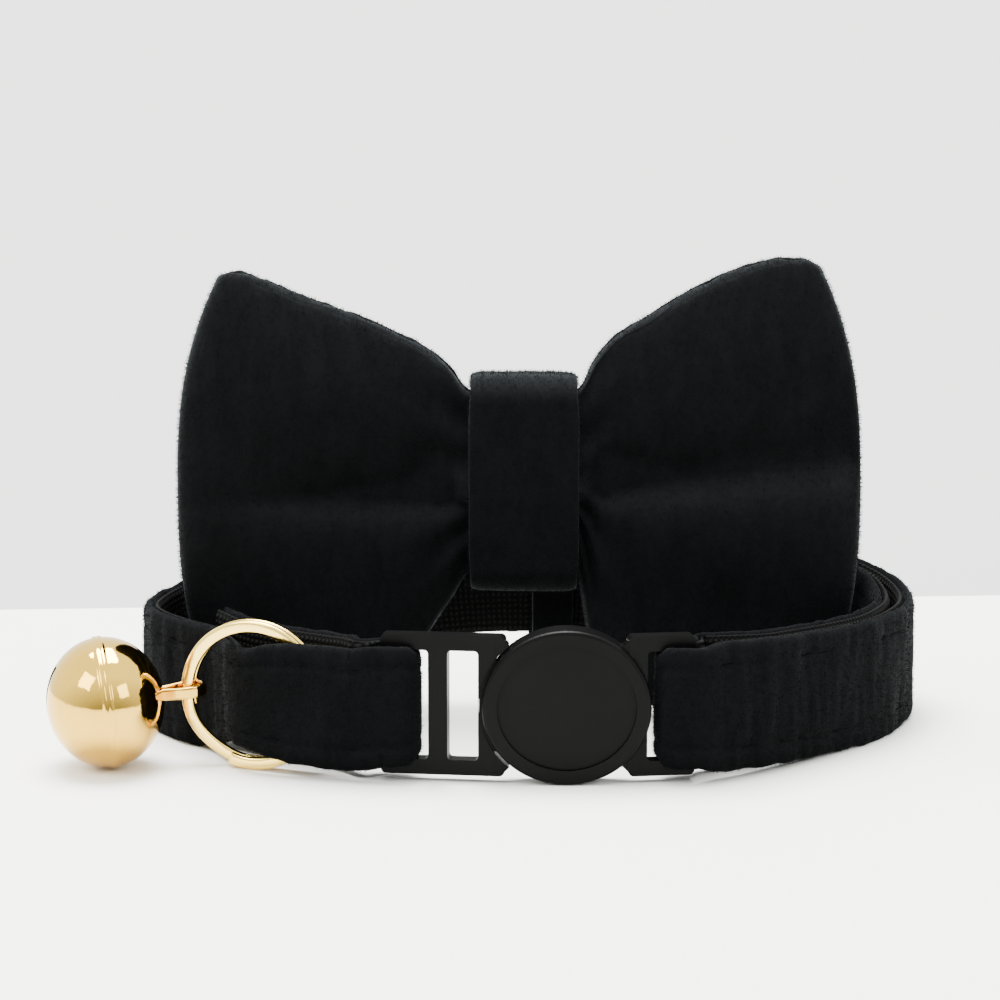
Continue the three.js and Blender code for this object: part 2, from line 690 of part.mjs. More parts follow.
function bellShell() {
  const radius = BELL_DIAMETER / 2 - BELL_SEAM_HEIGHT;
  const half = BELL_LENGTH / 2;
  const body = joined([bellOfRevolution(radius, half, BELL_SEAM_HEIGHT), bellEye()]);
  const hollow = bellOfRevolution(radius - BELL_WALL, half - BELL_WALL, 0);
  const slot = box(
    -BELL_LENGTH, -BELL_LENGTH / 4,
    -BELL_SLOT_WIDTH / 2, BELL_SLOT_WIDTH / 2,
    -BELL_SLOT_LENGTH / 2, BELL_SLOT_LENGTH / 2,
  );
  const geometry = geometryFrom(cut(body, [hollow, slot]));
  geometry.rotateY(-BELL_TILT);
  geometry.rotateZ(BELL_TURN_BACK);
  geometry.translate(BELL_CENTRE.x, BELL_CENTRE.y, BELL_CENTRE.z);
  return geometry;
}

function bellPellet() {
  const radius = PELLET_DIAMETER / 2;
  const geometry = new THREE.IcosahedronGeometry(radius, 2);
  const height = BELL_WALL + BELL_SEAM_HEIGHT + GAP + radius;
  geometry.translate(BELL_CENTRE.x, BELL_CENTRE.y, height);
  return geometryFrom(solidFrom(geometry));
}

// Bow

const KEEPER_X = BOW_OFFSET + KEEPER_OFFSET;
const KEEPER_INDEX = MAIN_STATIONS.reduce((best, station, i) => {
  const behindBow = station.y > LOOP_DEPTH / 2;
  const nearer = Math.abs(station.x - KEEPER_X) < Math.abs(MAIN_STATIONS[best].x - KEEPER_X);
  return behindBow && nearer ? i : best;
}, Math.round(MAIN_STATIONS.length / 2));
const KEEPER_STATION = MAIN_STATIONS[KEEPER_INDEX];
const KEEPER_FRAME = strapFrame(MAIN_STATIONS, KEEPER_INDEX);
const PINCH = LOBE_STATIONS[0];
const PINCH_DEPTH = PINCH.deep * BOW_DEPTH;
const KNOT_DEPTH = PINCH_DEPTH + 2 * (GAP + KNOT_WALL);
const KEEPER_DEPTH = STRAP_THICKNESS + 2 * (GAP + KEEPER_WALL);
const BOW_Y = KEEPER_STATION.y - KEEPER_DEPTH / 2 - GAP - KNOT_DEPTH / 2;
const BOW_MIDDLE = BOW_HEIGHT / 2;

// The bow's half width at a row: widest at the middle, in at the corners.
function lobeHalfWidth(row) {
  const corner = Math.min(1, Math.abs(row));
  return lerp(BOW_WIDTH, BOW_CORNER_WIDTH, corner ** BOW_SIDE_CURVE) / 2;
}

// Half the depth at a row: the panels meet at the top and bottom edges and puff out between them.
function lobeHalfDepth(station, row) {
  const edge = Math.min(BOW_EDGE_DEPTH, BOW_DEPTH * station.deep) / 2;
  const puff = Math.max(0, 1 - row * row) ** BOW_PUFF_CURVE;
  return lerp(edge, (BOW_DEPTH * station.deep) / 2, puff);
}

function lobeCrease(crease, row) {
  const width = row > 0 ? BOW_CREASE_WIDTH.above : BOW_CREASE_WIDTH.below;
  return BOW_CREASE * crease * Math.exp(-Math.abs(row) / width);
}

// One point of the front (face -1) or rear (face 1) panel, moved in by the wall where it is given.
function lobePoint(side, station, row, face, wall) {
  const lobe = side < 0 ? 0 : 1;
  const share = row > 0 ? station.high[lobe] : station.low[lobe];
  const narrow = 1 - (wall * 2) / BOW_WIDTH;
  const x = BOW_OFFSET + station.out * (side * lobeHalfWidth(row) * narrow - BOW_SKEW);
  const depth = lobeHalfDepth(station, row) - wall;
  const valley = lobeCrease(station.crease[lobe], row) * (face < 0 ? 1 : BOW_REAR_CREASE);
  return new THREE.Vector3(x, BOW_Y + face * (depth - valley), BOW_MIDDLE + row * share * BOW_MIDDLE);
}

function lobeGrid(side, stations, rows, face, wall) {
  return stations.map((station) => rows.map((row) => lobePoint(side, station, row, face, wall)));
}

function rowsBetween(low, high, count) {
  return Array.from({ length: count + 1 }, (_, i) => lerp(low, high, i / count));
}

function bowBand() {
  const rows = rowsBetween(-1, 1, BOW_ROWS);
  const left = LOBE_STATIONS.slice(1).reverse();
  const grid = (face) => [
    ...lobeGrid(-1, left, rows, face, 0),
    ...lobeGrid(1, LOBE_STATIONS, rows, face, 0),
  ];
  const body = solidFrom(solidBetween(grid(-1), grid(1)));
  const open = LOBE_STATIONS.filter((station) => station.out >= BOW_CAVITY_START);
  const through = rowsBetween(-BOW_CAVITY_REACH, BOW_CAVITY_REACH, BOW_ROWS + BOW_EXTRA_ROWS);
  const cavities = [-1, 1].map((side) => {
    const stations = side < 0 ? [...open].reverse() : open;
    return solidBetween(
      lobeGrid(side, stations, through, -1, BOW_WALL),
      lobeGrid(side, stations, through, 1, BOW_WALL),
    );
  });
  return geometryFrom(cut(body, cavities));
}

// A soft band of the given size in Y and Z round a hole, as wide as width along X.
function bandRound(width, depth, height, wall, corner, bevel) {
  const outline = roundedRect(-depth / 2, depth / 2, -height / 2, height / 2, corner);
  const inner = Math.max(corner - wall, LEAST_CORNER);
  const hole = { y: depth / 2 - wall, z: height / 2 - wall };
  outline.holes.push(roundedRect(-hole.y, hole.y, -hole.z, hole.z, inner));
  const geometry = new THREE.ExtrudeGeometry(outline, {
    depth: width - 2 * bevel,
    bevelEnabled: bevel > 0,
    bevelThickness: bevel,
    bevelSize: bevel,
    bevelOffset: -bevel,
    bevelSegments: 2,
    curveSegments: 4,
  });
  geometry.translate(0, 0, bevel - width / 2);
  geometry.rotateX(Math.PI / 2);
  geometry.rotateZ(Math.PI / 2);
  return geometry;
}

function bowKnot() {
  const pinchTop = PINCH.high[0] * BOW_MIDDLE;
  const pinchBottom = PINCH.low[0] * BOW_MIDDLE;
  const height = pinchTop + pinchBottom + 2 * (GAP + KNOT_WALL);
  const geometry = bandRound(KNOT_WIDTH, KNOT_DEPTH, height, KNOT_WALL, KNOT_CORNER, KNOT_BEVEL);
  geometry.translate(BOW_OFFSET, BOW_Y, BOW_MIDDLE + (pinchTop - pinchBottom) / 2);
  return geometryFrom(solidFrom(geometry));
}

function bowKeeper() {
  const height = STRAP_WIDTH + 2 * (GAP + KEEPER_WALL);
  const geometry = bandRound(KEEPER_WIDTH, KEEPER_DEPTH, height, KEEPER_WALL, KEEPER_WALL * 1.2, 0);
  geometry.rotateZ(Math.atan2(KEEPER_FRAME.along.y, KEEPER_FRAME.along.x));
  geometry.translate(KEEPER_STATION.x, KEEPER_STATION.y, KEEPER_STATION.lift + STRAP_WIDTH / 2);
  return geometryFrom(solidFrom(geometry));
}

// Assembly

const PIECES = {
  strap: [strap, 'velvet'],
  slider: [slider, 'plastic'],
  buckle_tongue: [buckleTongue, 'plastic'],
  buckle_socket: [buckleSocket, 'plastic'],
  split_ring: [splitRing, 'gold'],
  bell_shell: [bellShell, 'gold'],
  bell_pellet: [bellPellet, 'steel'],
  bow_band: [bowBand, 'velvet'],
  bow_knot: [bowKnot, 'velvet'],
  bow_keeper: [bowKeeper, 'velvet'],
};

const collar = new THREE.Group();
for (const [name, [make, finish]] of Object.entries(PIECES)) {
  const mesh = new THREE.Mesh(make(), new THREE.MeshStandardMaterial(MATERIALS[finish]));
  mesh.name = name;
  collar.add(mesh);
}

const bounds = new THREE.Box3().setFromObject(collar);
const middle = bounds.getCenter(new THREE.Vector3());
collar.position.set(-middle.x, -middle.y, -bounds.min.z);

export default collar;
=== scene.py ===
"""Pet bow tie collar in black velvet with a disc buckle, a split ring and a round bell."""
import math

import bpy
import numpy as np
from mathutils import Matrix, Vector


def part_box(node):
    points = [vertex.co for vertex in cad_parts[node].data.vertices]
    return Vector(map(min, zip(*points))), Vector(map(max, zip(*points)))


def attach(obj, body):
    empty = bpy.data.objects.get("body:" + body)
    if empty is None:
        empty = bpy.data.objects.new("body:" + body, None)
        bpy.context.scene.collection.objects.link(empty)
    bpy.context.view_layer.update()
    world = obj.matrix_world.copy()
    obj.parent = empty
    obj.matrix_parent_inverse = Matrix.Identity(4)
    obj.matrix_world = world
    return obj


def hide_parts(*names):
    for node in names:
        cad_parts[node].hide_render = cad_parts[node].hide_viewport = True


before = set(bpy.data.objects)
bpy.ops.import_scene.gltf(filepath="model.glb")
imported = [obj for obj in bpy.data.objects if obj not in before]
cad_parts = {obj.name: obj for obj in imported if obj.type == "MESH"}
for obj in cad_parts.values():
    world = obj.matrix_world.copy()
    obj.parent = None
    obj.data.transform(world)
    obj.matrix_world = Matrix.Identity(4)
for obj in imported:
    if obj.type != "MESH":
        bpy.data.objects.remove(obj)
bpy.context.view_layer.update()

bl_info = {
    "name": "Pet Bow Tie Collar",
    "version": (1, 0, 0),
    "blender": (4, 5, 0),
    "location": "View3D > Sidebar > Collar",
    "description": "Dresses a pet bow tie collar in velvet, webbing, satin plastic and polished gold",
    "category": "Add Mesh",
}

MM = 0.001
GAP = 0.3

# Lengths are in millimetres. The strap, its folds and its layers.
STRAP_WIDTH = 12.0
STRAP_THICKNESS = 1.7
STRAP_STEP = 1.7
FINE_STEP = 0.4
FOLD_THICKNESS = 1.35
FOLD_OVERHANG = 0.35
FOLD_NARROW = (0.25, 0.62)
FOLD_WIDTH = 0.93
FOLD_STEPS = 8
LOOP_WIDTH = 75.6
LOOP_DEPTH = 41.2
LOOP_OFFSET = 2.9
LAYER_GAP = 0.6
LAYER_MERGE_LENGTH = 9.0
WEBBING_SHARE = 0.42

# The finer relief of the strap, its edges and its stitches.
WEBBING_WIDTH = 0.975
LAYER_OVERLAP = 0.02
SHARP_BEND = 0.06
STRAP_SWELL = 0.15
SWELL_PITCH = (1.5, 2.4)
EDGE_WOBBLE = 0.1
EDGE_PITCH = 1.3
INNER_CALM = 0.25
CALM_ROWS = 9
STRAP_EDGE_CURVE = 12
GROOVE_WIDTH = 0.35
GROOVE_DEPTH = 0.09
STITCH_PULL = 0.02
THREAD_SUNK = 0.15
THREAD_SIZE = (0.1, 0.11)
THREAD_SHARE = 0.36

# Fibres: their turn by chance, width, lengths and upward lean, then the share of the pile by piece.
FIBRE_TURN = 0.35
FIBRE_HALF_WIDTH = 0.022
FIBRE_LENGTHS = (0.5, 1.15)
PILE_LEAN = 0.1
STRAP_LEAN = -0.15
STRAP_PILE = 0.75
KNOT_PILE = 0.8
KNOT_FIBRES = 26000
KEEPER_PILE = 0.6
KEEPER_FIBRES = 7000

# The buckle and the slider.
DISC_WIDTH = 15.3
DISC_HEIGHT = 14.2
DISC_THICKNESS = 3.2
FRAME_THICKNESS = 1.6
FRAME_ANGLE = math.radians(7)
FRAME_JOIN = 6.0
SLOT_HEIGHT = 10.1
SLOT_LENGTH = 2.8
TONGUE_ROOT = 1.9
TONGUE_MIDDLE_BAR = 1.75
TONGUE_OUTER_BAR = 1.55
SOCKET_ROOT = 1.2
SOCKET_BAR = 1.55

SLIDER_BAR = 1.4
SLIDER_PLACE = 0.635
SLIDER_EASE = 0.35
SLIDER_TAIL = 5.0

# The split ring, the bell and its eye.
RING_DIAMETER = 14.0
RING_BAND = 1.15
RING_WIRE = 0.65
RING_TURN_GAP = 0.1
RING_TURNS = 1.84
RING_JOG = (0.86, 0.98)
RING_END_ANGLE = math.radians(250)
RING_FROM_CREASE = (1.5, -0.5)
RING_TURN_BACK = math.radians(18)
RING_ROUNDNESS = 3.2

BELL_DIAMETER = 12.3
BELL_LENGTH = 10.8
BELL_WALL = 0.5
BELL_SEAM_WIDTH = 0.8
BELL_SEAM_HEIGHT = 0.12
BELL_SEAM_EASE = (-0.12, 0.08)
BELL_JOINT_DEPTH = 0.5
BELL_JOINT_WIDTH = 0.09
BELL_POLE = 0.02
BELL_SLOT_WIDTH = 1.2
BELL_SLOT_LENGTH = 8.0
BELL_TURN_BACK = math.radians(11)
EYE_STRIP = 0.45
EYE_HEIGHT = 1.1
EYE_GAP = 0.25
EYE_NECK = 2.35
EYE_HOLE_SHARE = 0.36
EYE_ROOT_SHARE = 0.8
EYE_FOOT = 0.45

# The bow, its crease, gathers and hems, the knot and the keeper.
BOW_WIDTH = 66.2
BOW_CORNER_WIDTH = 58.0
BOW_HEIGHT = 45.0
BOW_DEPTH = 6.8
BOW_EDGE_DEPTH = 3.3
BOW_WALL = 1.4
BOW_CREASE = 2.6
BOW_CREASE_WIDTH = (0.3, 0.07)
BOW_REAR_CREASE = 0.3
BOW_END_CURVE = 1.7
BOW_TURN_SHARE = 0.22
BOW_SIDE_CURVE = 2.6
BOW_PUFF_CURVE = 0.6
BOW_SLACK = 0.22
SLACK_PITCH = (0.16, 3.2)
SLACK_RISE = (0.15, 0.5)
BOW_LEAST_DEPTH = 0.05
BOW_LEAST_LIFT = 0.05
CREASE_LEFT = -0.03
CREASE_RIGHT = 0.015
CREASE_RISE = 0.13
CREASE_ROUND = 0.0002
PLEAT_OUT = 0.2
PLEAT_REACH = 0.1
PLEAT_WAVE = 15
HEM_BULGE = 0.3
HEM_WOBBLE = 0.12
HEM_START = 0.97
HEM_PITCH = (1.4, 2.0)
BOW_OFFSET = -3.7
BOW_SKEW = 0.45
KNOT_WIDTH = 10.6
KNOT_WALL = 1.5
KNOT_CORNER = 2.4
KNOT_TUCK = 0.03
TUCK_START = 0.6
BAND_RIPPLE = 0.06
RIPPLE_PITCH = (3.0, 0.5)
KEEPER_WIDTH = 4.0
KEEPER_WALL = 1.0
KEEPER_CORNER = 1.2
KEEPER_OFFSET = 3.3

# The camera, the table, the wall and the lights.
CAMERA_PLACE = (-6.0, -267.1, 71.6)
CAMERA_PITCH = math.radians(9.65)
TABLE_SIDE = 600.0
TABLE_FRONT = -900.0
TABLE_BACK = 83.0
TABLE_EDGE_LEAN = 0.072
TABLE_COLOUR = (0.86, 0.85, 0.82)
WALL_COLOUR = (0.84, 0.875, 0.835)
WALL_BRIGHT_WAY = (-0.15, 0.6, 0.9)
WALL_STRENGTH = (0.8, 3.6)
LIGHT_TARGET = (0, 20, 15)
# Columns: name, place, side of the square, power in watts.
LIGHTS = (
    ("window_left", (-300, -240, 330), 220, 1.5),
    ("window_right", (330, -300, 260), 200, 0.9),
    ("ceiling", (-40, 90, 380), 240, 7.5),
)

# Columns: across, deep, lift, width, as shares of the loop's width and depth and the strap's width.
STRAP_ROUTE = np.array([
    (-0.213, 0.039, 0.09, 0.94), (-0.253, 0.058, 0.1, 0.94), (-0.306, 0.092, 0.125, 0.91),
    (-0.343, 0.126, 0.175, 0.8), (-0.36, 0.168, 0.19, 0.77), (-0.372, 0.233, 0.17, 0.79),
    (-0.394, 0.313, 0.06, 0.94), (-0.434, 0.397, 0, 1), (-0.475, 0.507, 0, 1),
    (-0.489, 0.595, 0, 1), (-0.476, 0.699, 0.02, 1), (-0.438, 0.765, 0.08, 1),
    (-0.358, 0.789, 0.24, 1), (-0.226, 0.786, 0.48, 1), (-0.08, 0.782, 0.6, 1),
    (0.033, 0.782, 0.61, 1), (0.131, 0.835, 0.55, 1), (0.217, 0.903, 0.44, 1),
    (0.316, 0.947, 0.3, 1), (0.409, 0.939, 0.18, 1), (0.462, 0.874, 0.08, 1),
    (0.487, 0.772, 0.01, 1), (0.483, 0.636, 0, 1), (0.459, 0.51, 0, 1),
    (0.429, 0.415, 0, 1), (0.384, 0.314, 0.015, 1), (0.34, 0.231, 0.03, 1),
    (0.3, 0.159, 0.045, 1), (0.259, 0.095, 0.065, 1), (0.222, 0.047, 0.08, 1),
])
CREASE_ROW = 4
TAIL_ROUTE = np.array([
    (-0.393, 0.403, 0.1, 1), (-0.352, 0.316, 0.06, 1), (-0.299, 0.24, 0.05, 1),
    (-0.246, 0.168, 0.055, 1), (-0.208, 0.093, 0.075, 1),
])
# Columns: out, deep, then high, low and crease, each for the left and the right lobe.
LOBE_STATIONS = np.array([
    (0, 0.56, 0.44, 0.44, 0.34, 0.34, 0, 0),
    (0.194, 0.56, 0.44, 0.44, 0.34, 0.34, 0, 0),
    (0.207, 0.58, 0.455, 0.46, 0.36, 0.45, 0.35, 0.35),
    (0.235, 0.68, 0.51, 0.54, 0.42, 0.66, 0.95, 0.95),
    (0.3, 0.82, 0.59, 0.645, 0.55, 0.81, 1, 1),
    (0.42, 0.92, 0.675, 0.745, 0.77, 0.9, 0.85, 0.95),
    (0.56, 0.98, 0.755, 0.85, 0.91, 0.95, 0.75, 0.95),
    (0.7, 1, 0.82, 0.935, 0.97, 0.98, 0.5, 0.95),
    (0.82, 1, 0.88, 0.985, 0.99, 0.99, 0.25, 0.9),
    (0.92, 1, 0.93, 1, 1, 1, 0.12, 0.85),
    (0.975, 1, 0.94, 0.99, 1, 1, 0.05, 0.7),
    (1, 1, 0.93, 0.97, 0.98, 0.98, 0, 0.3),
])

SOCKET_LOW = np.array(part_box("buckle_socket")[0]) / MM
ORIGIN = np.array([SOCKET_LOW[0] + DISC_WIDTH / 2, SOCKET_LOW[1], 0.0])


def placed(points):
    """Turns millimetres from the foot of the buckle's disc into metres in the part's frame."""
    return (np.asarray(points, float) + ORIGIN) * MM


def smoothstep(value, low, high):
    """Eases from 0 at low to 1 at high as 3 t^2 - 2 t^3."""
    t = np.clip((np.asarray(value, float) - low) / (high - low), 0, 1)
    return t * t * (3 - 2 * t)


def unit(vectors):
    """Scales each vector of an array to length 1."""
    length = np.linalg.norm(vectors, axis=-1, keepdims=True)
    return vectors / np.maximum(length, 1e-9)


def run_length(points):
    """Length along a line of points up to each of them."""
    return np.concatenate([[0], np.cumsum(np.linalg.norm(np.diff(points, axis=0), axis=1))])


def smooth_noise(x, y, seed):
    """Sum of shifted sine products over two coordinates in three octaves, the same at each run.

    Each octave adds sin(p a + f) sin(0.8 p b + g) / 2^octave in four turned directions a and b.
    """
    rng = np.random.default_rng(seed)
    total = np.zeros(np.broadcast(x, y).shape)
    weight = 0.0
    for octave in range(3):
        scale = 2.0 ** octave
        for _ in range(4):
            angle = rng.uniform(0, 2 * math.pi)
            pitch = scale * rng.uniform(0.7, 1.4)
            shift = rng.uniform(0, 2 * math.pi, 2)
            along = x * math.cos(angle) + y * math.sin(angle)
            side = y * math.cos(angle) - x * math.sin(angle)
            total = total + np.sin(along * pitch + shift[0]) * np.sin(side * pitch * 0.8 + shift[1]) / scale
            weight += 0.35 / scale
    return total / weight


def cubic_span(a, b, m1, m2, t):
    """Hermite curve from a to b with the end slopes m1 and m2, at t from 0 to 1."""
    return (2 * a - 2 * b + m1 + m2) * t ** 3 + (3 * b - 3 * a - 2 * m1 - m2) * t ** 2 + m1 * t + a


def curve_through(points, step):
    """Centripetal Catmull-Rom curve through the rows of points, resampled at equal steps of length.

    Each span takes its knots as the square root of the chord, with mirrored points past both ends.
    """
    ends = np.vstack([2 * points[0] - points[1], points, 2 * points[-1] - points[-2]])
    t = np.linspace(0, 1, 24, endpoint=False)[:, None]
    spans = []
    for a, b, c, d in zip(ends[:-3], ends[1:-2], ends[2:-1], ends[3:]):
        k1, k2, k3 = (max(np.linalg.norm(q[:3] - p[:3]), 1e-4) ** 0.5 for p, q in ((a, b), (b, c), (c, d)))
        m1 = (b - a) / k1 - (c - a) / (k1 + k2) + (c - b) / k2
        m2 = (c - b) / k2 - (d - b) / (k2 + k3) + (d - c) / k3
        m1, m2 = m1 * k2, m2 * k2
        spans.append(cubic_span(b, c, m1, m2, t))
    line = np.vstack(spans + [points[-1:]])
    run = run_length(line[:, :3])
    count = max(2, int(round(run[-1] / step)))
    marks = np.linspace(0, run[-1], count + 1)
    return np.column_stack([np.interp(marks, run, column) for column in line.T])


def route_stations(rows):
    """Stations x, y, lift, width, thickness at equal steps along a route table."""
    points = np.column_stack([
        rows[:, 0] * LOOP_WIDTH - LOOP_OFFSET, rows[:, 1] * LOOP_DEPTH, rows[:, 2] * STRAP_WIDTH, rows[:, 3],
    ])
    line = curve_through(points, STRAP_STEP)
    return np.column_stack([line, np.full(len(line), STRAP_THICKNESS)])


def strap_frames(stations):
    """Mid points and the strap's own directions along, inwards and up at each station."""
    middle = stations[:, :3].copy()
    middle[:, 2] += STRAP_WIDTH * stations[:, 3] / 2
    extended = np.vstack([middle[:1], middle, middle[-1:]])
    along = unit(extended[2:] - extended[:-2])
    inward = unit(np.column_stack([along[:, 1], -along[:, 0], np.zeros(len(along))]))
    up = np.cross(inward, along)
    return middle, along, inward, up


def frame_place(side, along, behind):
    """A point of a buckle frame in X and Y, along outwards from its bend and behind to the wearer."""
    cos, sin = math.cos(FRAME_ANGLE), math.sin(FRAME_ANGLE)
    x = side * (FRAME_JOIN + along * cos - behind * sin)
    return x, DISC_THICKNESS / 2 + along * sin + behind * cos


def buckle_fold(side, bar_start, bar_length):
    """Stations of the half turn of the strap round a bar of the buckle, back leg first."""
    radius = FRAME_THICKNESS / 2 + GAP + FOLD_THICKNESS / 2
    centre = bar_start + FOLD_OVERHANG
    leg = bar_length + GAP - FOLD_OVERHANG
    turn = math.pi * (0.5 - np.arange(FOLD_STEPS + 1) / FOLD_STEPS)
    spots = [(leg, radius)] + [(-radius * math.cos(a), radius * math.sin(a)) for a in turn] + [(leg, -radius)]
    slot_fit = (SLOT_HEIGHT - 2 * GAP) / STRAP_WIDTH
    rows = []
    for along, behind in spots:
        width = slot_fit + (FOLD_WIDTH - slot_fit) * float(smoothstep(abs(behind) / radius, *FOLD_NARROW))
        x, y = frame_place(side, centre + along, behind)
        rows.append((x, y, DISC_HEIGHT / 2 - STRAP_WIDTH * width / 2, width, FOLD_THICKNESS))
    return np.array(rows)


def strap_line():
    """All stations of the strap: tail, left fold, loop, right fold, inner layer and slider fold."""
    main = route_stations(STRAP_ROUTE)
    _, along, inward, up = strap_frames(main)
    run = run_length(main[:, :3])
    slider = int(round(SLIDER_PLACE * (len(main) - 1)))
    first = slider + math.ceil((SLIDER_BAR + GAP) / STRAP_STEP) + 1
    leg = STRAP_THICKNESS / 2 + GAP + SLIDER_EASE + FOLD_THICKNESS / 2
    radius = SLIDER_BAR / 2 + GAP + FOLD_THICKNESS / 2
    fold_offset = 2 * (FRAME_THICKNESS / 2 + GAP + FOLD_THICKNESS / 2)
    index = np.arange(len(main) - 1, first - 1, -1)
    merge = smoothstep(run[-1] - run[index], 0, LAYER_MERGE_LENGTH)
    reach = smoothstep(index - first, 0, LAYER_MERGE_LENGTH / STRAP_STEP)
    offset = leg + (fold_offset + (STRAP_THICKNESS + LAYER_GAP - fold_offset) * merge - leg) * reach
    inner = main[index].copy()
    inner[:, :2] += inward[index, :2] * offset[:, None]
    inner[:, 4] = FOLD_THICKNESS + (STRAP_THICKNESS - FOLD_THICKNESS) * np.minimum(merge, reach)
    turn = math.pi * (0.5 - np.arange(FOLD_STEPS + 1) / FOLD_STEPS)
    depth = leg + radius
    reach_over = FOLD_OVERHANG - SLIDER_BAR / 2
    spots = [(reach_over - radius * math.cos(a), depth - radius * math.sin(a)) for a in turn]
    spots.append((SLIDER_TAIL, depth + radius))
    base = main[slider, :3]
    fold = np.array([
        [*(base + along[slider] * s + inward[slider] * w), 1.0, FOLD_THICKNESS] for s, w in spots
    ])
    left = buckle_fold(-1, TONGUE_ROOT + 2 * SLOT_LENGTH + TONGUE_MIDDLE_BAR, TONGUE_OUTER_BAR)
    right = buckle_fold(1, SOCKET_ROOT + SLOT_LENGTH, SOCKET_BAR)[::-1]
    tail = route_stations(TAIL_ROUTE)
    line = np.vstack([tail, left, main, right, inner, fold])
    marks = np.cumsum([len(tail), len(left), len(main), len(right), len(inner)])
    return line, marks, up[slider]


def fine_strap():
    """The strap's mid line, directions and half sizes at a fine step, and which rows are the outer loop."""
    line, marks, slider_up = strap_line()
    kind = np.zeros((len(line), 1))
    kind[marks[4]:] = 1
    kind[marks[1]:marks[2], 0] = -1
    fine = curve_through(np.hstack([line, kind]), FINE_STEP)
    middle, along, inward, up = strap_frames(fine)
    at_slider = smoothstep(fine[:, 5], 0.3, 1)[:, None]
    up = unit(up * (1 - at_slider) + slider_up * at_slider)
    inward = unit(np.cross(along, up))
    run = run_length(middle)
    return {
        "middle": middle, "along": along, "inward": inward, "up": up, "run": run,
        "half_width": STRAP_WIDTH * fine[:, 3] / 2, "half_thick": fine[:, 4] / 2, "main": fine[:, 5] < -0.5,
    }


def grid_faces(rows, columns, close_rows, close_columns):
    """Quads of a grid of points, closed round in either direction where asked."""
    i = np.arange(rows if close_rows else rows - 1)[:, None]
    j = np.arange(columns if close_columns else columns - 1)[None, :]
    i2, j2 = (i + 1) % rows, (j + 1) % columns
    quads = [i * columns + j, i2 * columns + j, i2 * columns + j2, i * columns + j2]
    return np.stack([np.broadcast_to(q, (len(i), j.shape[1])) for q in quads], -1).reshape(-1, 4)


def add_piece(mesh, material):
    """Adds an object for a mesh, with one of the collar's materials and riding on the collar."""
    mesh.materials.append(collar_material(material))
    piece = bpy.data.objects.new(mesh.name, mesh)
    bpy.context.scene.collection.objects.link(piece)
    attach(piece, "root")
    return piece


def new_piece(name, points, faces, material, uv=None, caps=()):
    """Makes a smooth piece from points in millimetres, faces and end faces."""
    mesh = bpy.data.meshes.new(name)
    polygons = [tuple(int(v) for v in face) for face in faces] + [tuple(int(v) for v in cap) for cap in caps]
    mesh.from_pydata([tuple(p) for p in placed(points.reshape(-1, 3))], [], polygons)
    mesh.update()
    if uv is not None:
        layer = mesh.uv_layers.new(name="UVMap")
        corner = np.empty(len(mesh.loops), np.int32)
        mesh.loops.foreach_get("vertex_index", corner)
        layer.data.foreach_set("uv", np.asarray(uv, np.float32)[corner].ravel())
    if mesh_volume(mesh) < 0:
        mesh.flip_normals()
    mesh.polygons.foreach_set("use_smooth", np.full(len(mesh.polygons), True))
    return add_piece(mesh, material)


def mesh_triangles(mesh):
    """Three arrays with the corners of a mesh's triangles."""
    mesh.calc_loop_triangles()
    co = np.empty(len(mesh.vertices) * 3)
    mesh.vertices.foreach_get("co", co)
    tri = np.empty(len(mesh.loop_triangles) * 3, np.int32)
    mesh.loop_triangles.foreach_get("vertices", tri)
    return co.reshape(-1, 3)[tri.reshape(-1, 3)].transpose(1, 0, 2)


def mesh_volume(mesh):
    """Signed volume of a mesh by its triangle fans, positive where the faces point out."""
    a, b, c = mesh_triangles(mesh)
    return float(np.einsum("ij,ij->i", a, np.cross(b, c)).sum() / 6)


def rounded_section(count, exponent):
    """Points of a superellipse |x|^n + |y|^n = 1 at even angles, as two arrays from -1 to 1."""
    angle = np.linspace(0, 2 * math.pi, count, endpoint=False)
    cos, sin = np.cos(angle), np.sin(angle)
    power = 2 / exponent
    return np.sign(cos) * np.abs(cos) ** power, np.sign(sin) * np.abs(sin) ** power


def end_caps(rows, columns):
    """The first and the last row of a grid that is closed round its columns, as faces."""
    return [np.arange(columns)[::-1], (rows - 1) * columns + np.arange(columns)]


def ribbon(name, path, half_width, centre, half_thick, material, across, relief=None):
    """A soft closed strip along the path with rounded edges.

    The share across, a, runs as the sine of an even angle from -1 to 1. The half thickness is
    h (1 - |a|^e)^(1/2) with the edge curve e, and relief(a) adds to the outward face.
    """
    angle = np.linspace(-math.pi / 2, math.pi / 2, across)
    a = np.sin(angle)
    body = np.sqrt(np.maximum(1 - np.abs(a) ** STRAP_EDGE_CURVE, 0))
    front = centre[:, None] + half_thick[:, None] * body
    if relief:
        front = front + relief(a[None, :]) * body
    back = centre[:, None] - half_thick[:, None] * body
    a_loop = np.concatenate([a, a[-2:0:-1]])
    out = np.hstack([front, back[:, -2:0:-1]])
    points = (
        path["middle"][:, None, :] - path["inward"][:, None, :] * out[..., None]
        + path["up"][:, None, :] * (a_loop[None, :] * half_width[:, None])[..., None]
    )
    rows, columns = out.shape
    faces = grid_faces(rows, columns, False, True)
    caps = end_caps(rows, columns)
    run = np.broadcast_to(path["run"][:, None], out.shape)
    uv = np.stack([run, a_loop[None, :] * half_width[:, None]], -1).reshape(-1, 2) * MM
    return new_piece(name, points, faces, material, uv=uv, caps=caps)


